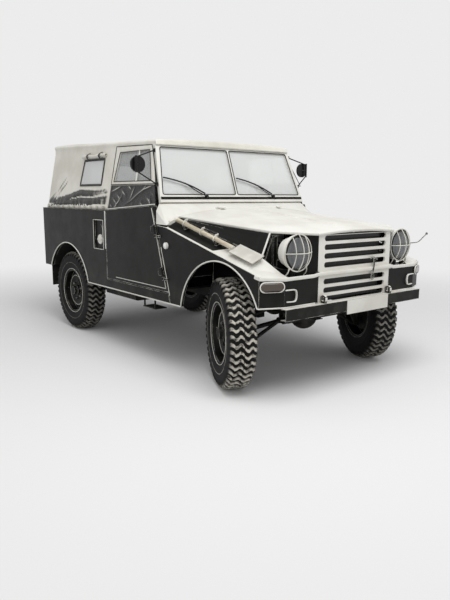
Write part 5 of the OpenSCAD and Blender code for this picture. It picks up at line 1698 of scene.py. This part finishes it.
def rope_bracket(sign):
    """A C of flat bar that stands off the front apron."""
    flat = [(0.668, 0.744), (0.600, 0.744), (0.584, 0.732), (0.580, 0.712), (0.580, 0.702), (0.584, 0.682),
            (0.600, 0.670), (0.655, 0.670)]
    out = [0.003, *[0.013] * 6, 0.003]
    path = np.array([[NOSE_X + x, sign * y, z] for x, (y, z) in zip(out, flat)])
    return sweep(smooth_path(path, 30), round_box(0.007, 0.013, 0.002, 3), up=X)


piece("rope_brackets", [rope_bracket(s) for s in SIDES.values()], pale_enamel)
RECESS_X, RECESS_Z, RECESS_Y = -0.489, 0.848, -0.806
frame_path = np.array([(0, 0, 0), (0.187, 0, 0), (0.187, 0, 0.255), (0, 0, 0.255)])
frame_path += (RECESS_X, -HALF_WIDTH - 0.0005, RECESS_Z)
recess_edge = tube(stations(frame_path, 6), 0.0028, 8, up=Y, closed=True)
piece("recess_edge", [recess_edge], pale_enamel)
cap_at = np.array([RECESS_X + 0.100, RECESS_Y, RECESS_Z + 0.085])
cap = [(0.044, 0.0), (0.044, -0.004), (0.040, -0.010), (0.016, -0.013), (0.0, -0.0135)]
cap = [lathe(cap, cap_at, Y, 36),
       plate(round_box(0.070, 0.014, 0.004), 0.004, cap_at + (0, -0.013, 0), X, Z)]
piece("filler_cap", cap, pale_steel_and_highlight)
chain = smooth_path(cap_at + [(0.03, -0.010, 0.02), (0.055, -0.008, 0.05), (0.05, -0.006, 0.10),
                              (0.02, -0.004, 0.13)], 16)
piece("filler_chain", [tube(chain, 0.0022, 6, up=Y)], bright_steel)

WING_PITCH = math.atan((1.121 - 0.838) / (1.739 - 0.586))
TOOL_UP = np.array([0.894 * math.sin(WING_PITCH), -0.447, 0.894 * math.cos(WING_PITCH)])
TOOL_ALONG = np.array([math.cos(WING_PITCH), 0, -math.sin(WING_PITCH)])
tool_start = np.array([0.724, -0.740, wing_height(0.724, 0.740)]) + 0.034 * TOOL_UP
shaft = tool_start + np.linspace(0.030, 0.690, 16)[:, None] * TOOL_ALONG
piece("tool_shaft", [tube(shaft, 0.0156, 20)], ash_wood)
clamps = []
for reach in (0.126, 0.336, 0.496):
    spot = tool_start + reach * TOOL_ALONG
    loop = lathe([(0.0185, 0.0)], spot, TOOL_ALONG, 24)[0]
    clamps.append(tube(loop, 0.0045, 8, up=TOOL_ALONG, closed=True))
    tongue = np.array([spot + 0.018 * TOOL_UP, spot + 0.030 * TOOL_UP + 0.012 * Y,
                       spot + 0.036 * TOOL_UP + 0.036 * Y])
    clamps.append(sweep(tongue, round_box(0.014, 0.006, 0.002, 3), up=TOOL_ALONG))
piece("tool_clamps", clamps, pale_steel_and_highlight)

# %% [markdown]
# ## Seats
# Each pad is a leathercloth cover, sewn along its edge and along two channels, and stuffed
# with rubberised hair. Cloth under a little pressure finds that shape: points on the seams
# and on the underside hold still, and the rest swells. It runs once for a front seat's base,
# once for its back and once for a bench, and a mirrored copy serves the other side.

# %% The stitched covers
SEAT_X, SEAT_Y, SEAT_Z = -0.204, 0.370, 0.800
TILT = math.radians(7)
BACK_UP = np.array([-math.sin(TILT), 0, math.cos(TILT)])
BACK_FRONT = np.array([math.cos(TILT), 0, math.sin(TILT)])
BASE_AT = np.array([SEAT_X + 0.248, SEAT_Y, SEAT_Z + 0.0003])
BACK_AT = np.array([SEAT_X - 0.024, SEAT_Y, SEAT_Z - 0.020]) + 0.280 * BACK_UP + 0.0003 * BACK_FRONT
BENCH_AT = np.array([-0.990, 0.5575, 0.8842])
VOXEL, ROUND = 0.0095, 0.034


def stuffed(name, origin, x, y, size, channels, swell):
    """A rounded block on axes x and y, remeshed. It swells with its channels and underside
    held, moves no further than swell, and never leaves the box it stands in."""
    out = np.cross(x, y)
    wide, long, thick = size
    outline = round_box(wide - 0.016, long - 0.016, ROUND, 6)
    points, faces = plate(outline, thick - 0.022, origin, x, y, 0.012)
    mesh = bpy.data.meshes.new(name)
    mesh.from_pydata(points.tolist(), [], [face for group in faces for face in group.tolist()])
    block = bpy.data.objects.new(name, mesh)
    bpy.context.scene.collection.objects.link(block)
    remesh = block.modifiers.new("even mesh", "REMESH")
    remesh.mode = "VOXEL"
    remesh.voxel_size = VOXEL
    evaluated = block.evaluated_get(bpy.context.evaluated_depsgraph_get())
    even = bpy.data.meshes.new_from_object(evaluated)
    block.modifiers.clear()
    block.data = even
    start = read_points(even)
    u, v, w = ((start - origin) @ axis for axis in (x, y, out))
    seam = np.abs(np.asarray(channels)[:, None] * long / 2 - v).min(0) < VOXEL * 0.6
    held = (w < 0.006) | (seam & (w > thick * 0.5) & (np.abs(u) < wide / 2 - 0.03))
    swell_cloth(block, held)
    moved = read_points(block.evaluated_get(bpy.context.evaluated_depsgraph_get()).data) - start
    block.modifiers.clear()
    reach = np.linalg.norm(moved, axis=1, keepdims=True)
    end = start + moved * np.minimum(1, swell / np.maximum(reach, 1e-9))
    low, high = np.array([-wide / 2, -long / 2, 0.0]), np.array([wide / 2, long / 2, thick])
    local = np.clip(np.stack([(end - origin) @ axis for axis in (x, y, out)], -1), low, high)
    print(f"{name}: {len(start)} points, moved up to {1000 * reach.max():.0f} mm")
    faces = [f.vertices[:] for f in even.polygons]
    faces = [np.array([f for f in faces if len(f) == n]) for n in (3, 4) if n in map(len, faces)]
    bpy.data.objects.remove(block)
    return put(local, origin, x, y, out), faces


def read_points(mesh):
    """A mesh's points as an array."""
    points = np.empty(3 * len(mesh.vertices))
    mesh.vertices.foreach_get("co", points)
    return points.reshape(-1, 3)


def swell_cloth(block, held):
    """Twenty frames of cloth with pressure inside and no gravity."""
    group = block.vertex_groups.new(name="sewn")
    group.add(np.flatnonzero(held).tolist(), 1.0, "REPLACE")
    cloth = block.modifiers.new("swelling", "CLOTH")
    cloth.settings.use_pressure = True
    cloth.settings.uniform_pressure_force = 4
    cloth.settings.effector_weights.gravity = 0
    cloth.settings.vertex_group_mass = "sewn"
    cloth.point_cache.frame_start, cloth.point_cache.frame_end = 1, 20
    for frame_number in range(1, 21):
        bpy.context.scene.frame_set(frame_number)


def mirrored(shell):
    """The same shell on the other side of the car, faces turned back outwards."""
    return shell[0] * (1, -1, 1), [faces[:, ::-1] for faces in shell[1]]


def pad(name, shell):
    """A finished pad from its shell, smoothed once."""
    made = piece(name, [shell], leathercloth, sharp=180)
    smooth = made.modifiers.new("smooth", "SUBSURF")
    smooth.levels = smooth.render_levels = 1
    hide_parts("seat_cushions")
    return made


def piping(shell, origin, x, y, size, height):
    """The welt round a pad: a loop outside it, at a height above its foot, drawn in square to
    the pad's axis until it meets the cover."""
    cover = BVHTree.FromPolygons(shell[0].tolist(), [face for group in shell[1] for face in group.tolist()])
    loop = round_box(size[0] + 0.02, size[1] + 0.02, ROUND + 0.012, 7)
    loop = stations(loop, 6)
    out = np.cross(x, y)
    outside = put(np.column_stack([loop, np.full(len(loop), height)]), origin, x, y, out)
    towards = put(np.column_stack([loop * 0.5, np.full(len(loop), height)]), origin, x, y, out)
    hits = [cover.ray_cast(Vector(a), Vector(b - a))[0] for a, b in zip(outside, towards)]
    path = np.array([hit for hit in hits if hit])
    return tube(path, 0.0034, 6, up=out, closed=True)


PADS = {
    "seat_base": (BASE_AT, X, Y, (0.360, 0.466, 0.108), (-0.34, 0.34), 0.014),
    "seat_back": (BACK_AT, -BACK_UP, Y, (0.436, 0.466, 0.078), (-0.34, 0.34), 0.012),
    "bench_pad": (BENCH_AT, X, Y, (1.062, 0.338, 0.058), (-0.05, 0.05), 0.010),
}
for name, (origin, x, y, size, channels, swell) in PADS.items():
    shell = stuffed(name, origin, x, y, size, channels, swell)
    welt = piping(shell, origin, x, y, size, size[2] * 0.55)
    pad(f"{name}_left", shell)
    pad(f"{name}_right", mirrored(shell))
    piece(f"{name}_piping", [welt, mirrored(welt)], leathercloth)

# %% [markdown]
# ## The driver's place
# Plain dials with unnumbered faces sit before the steering wheel; knobs run along the dash.
# Pedals, gear lever and handbrake are bars with a bend and a knob. They are fixed: the
# record says that small controls have no joint.

# %% Dials, levers and pedals
dash_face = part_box("dashboard")[0][0] - 0.0005
dial_rims, dial_glass, knobs = [], [], []
for y, z, radius in ((0.365, 1.108, 0.046), (0.500, 1.100, 0.028), (0.232, 1.100, 0.028),
                     (0.565, 1.100, 0.024)):
    spot = (dash_face, y, z)
    rim = [(0, -0.002), (0, 0.004), (0.003, 0.006), (0.005, 0.003), (0.005, -0.002)]
    dial_rims.append(lathe(np.array(rim) + (radius, 0), spot, -X, 36))
    dial_glass.append(lathe([(radius, 0.001), (radius - 0.004, 0.0022), (0.0, 0.0026)], spot, -X, 36))
for y in (0.30, 0.18, 0.12, 0.06, 0.0, -0.06):
    knob = [(0.004, -0.002), (0.004, 0.014), (0.009, 0.016), (0.011, 0.022), (0.007, 0.027), (0.0, 0.028)]
    knobs.append(lathe(knob, (dash_face, y, 1.055), -X, 16))
piece("dial_rims", dial_rims, bright_steel)
piece("dial_faces", dial_glass, bakelite)
piece("dash_knobs", knobs, bakelite)


def lever(points, radius, knob_radius):
    """A bent bar with a ball on its end."""
    path = smooth_path(points, 26)
    t = np.linspace(0, np.pi, 9)
    ball = np.column_stack([knob_radius * np.sin(t), -knob_radius * np.cos(t)])
    return [tube(path, radius, 10, up=Y), lathe(ball, path[-1], unit(path[-1] - path[-2]), 18)]


def pedal(y, x, z):
    """An arm hung from the bulkhead and a ribbed pad that leans back."""
    arm = smooth_path([(0.674, y, z + 0.17), (x + 0.036, y, z + 0.10), (x + 0.010, y, z + 0.004)], 16)
    face, up = unit((-0.9, 0, 0.44)), unit((0.44, 0, 0.9))
    pad_plate = plate(round_box(0.052, 0.064, 0.008), 0.009, (x + 0.008, y, z), -Y, up)
    origins = np.array([(x + 0.008, y, z)]) + np.linspace(-0.024, 0.024, 5)[:, None] * up + 0.009 * face
    rib = plate(round_box(0.044, 0.004, 0.0015, 2), 0.002, (0, 0, 0), X, Y, 0.0005)
    return [tube(arm, 0.0065, 8, up=Y), pad_plate, repeat(rib, origins, -Y, up, face)]


pedals = [shell for y, x, z in ((0.290, 0.600, 0.745), (0.440, 0.600, 0.745), (0.545, 0.618, 0.720))
          for shell in pedal(y, x, z)]
piece("pedals", pedals, rubber)
gear = lever([(0.455, 0.03, 0.688), (0.452, 0.03, 0.78), (0.430, 0.045, 0.90), (0.395, 0.060, 0.985)],
             0.0065, 0.021)
transfer = lever([(0.400, -0.060, 0.688), (0.396, -0.062, 0.75), (0.372, -0.070, 0.845)], 0.0065, 0.017)
brake = lever([(0.520, -0.120, 0.690), (0.470, -0.122, 0.745), (0.385, -0.122, 0.800),
               (0.290, -0.122, 0.842)], 0.009, 0.0125)
gaiter = [(0.050, 0.001), (0.048, 0.010), (0.036, 0.020), (0.034, 0.030), (0.022, 0.040), (0.009, 0.046)]
gaiters = [lathe(gaiter, at, Z, 24) for at in ((0.455, 0.03, 0.690), (0.400, -0.060, 0.690))]
piece("levers", gear + transfer + brake, bakelite)
piece("lever_gaiters", gaiters, rubber)

# %% [markdown]
# ## The back
# The back has what such a car needs and no more: a blank number plate with its lamp, two
# reflectors, and on the door a border of pressed ribs and a turning handle. The ribs are
# swept bars that ride with the door.

# %% Rear fittings
BACK_X = -1.645
ribs = []
for z in (0.700, 1.145):
    line = np.array([[BACK_X - 0.014, y, z] for y in np.linspace(-0.385, 0.385, 7)])
    ribs.append(sweep(line, round_box(0.006, 0.016, 0.0028, 4)))
for y in (-0.385, 0.385):
    line = np.array([[BACK_X - 0.014, y, z] for z in np.linspace(0.700, 1.145, 7)])
    ribs.append(sweep(line, round_box(0.016, 0.006, 0.0028, 4), up=X))
piece("rear_door_ribs", ribs, dark_enamel, "rear_door")
handle = smooth_path([(BACK_X - 0.013, 0.395, 0.92), (BACK_X - 0.030, 0.395, 0.92),
                      (BACK_X - 0.034, 0.380, 0.92), (BACK_X - 0.034, 0.320, 0.915)], 16)
boss = lathe([(0.0, -0.006), (0.016, -0.004), (0.020, 0.0), (0.020, 0.004)], (BACK_X - 0.018, 0.395, 0.92),
             X, 20)
piece("rear_door_handle", [tube(handle, 0.0065, 10), boss], bright_steel, "rear_door")
plate_at = (BACK_X - 0.001, 0.570, 1.060)
number = plate(round_box(0.170, 0.120, 0.010), 0.003, plate_at, -Y, Z)
piece("rear_number_plate", [number], pale_enamel)
lamp_box = plate(round_box(0.060, 0.024, 0.010), 0.026, (BACK_X - 0.001, 0.570, 1.136), -Y, Z, 0.004)
piece("number_lamp", [lamp_box], bakelite)
reflectors = [lathe([(0.024, -0.001), (0.024, 0.004), (0.020, 0.007), (0.0, 0.008)],
        (BACK_X - 0.001, s * 0.690, 0.700), -X, 28)
              for s in SIDES.values()]
piece("rear_reflectors", reflectors, red_glass)
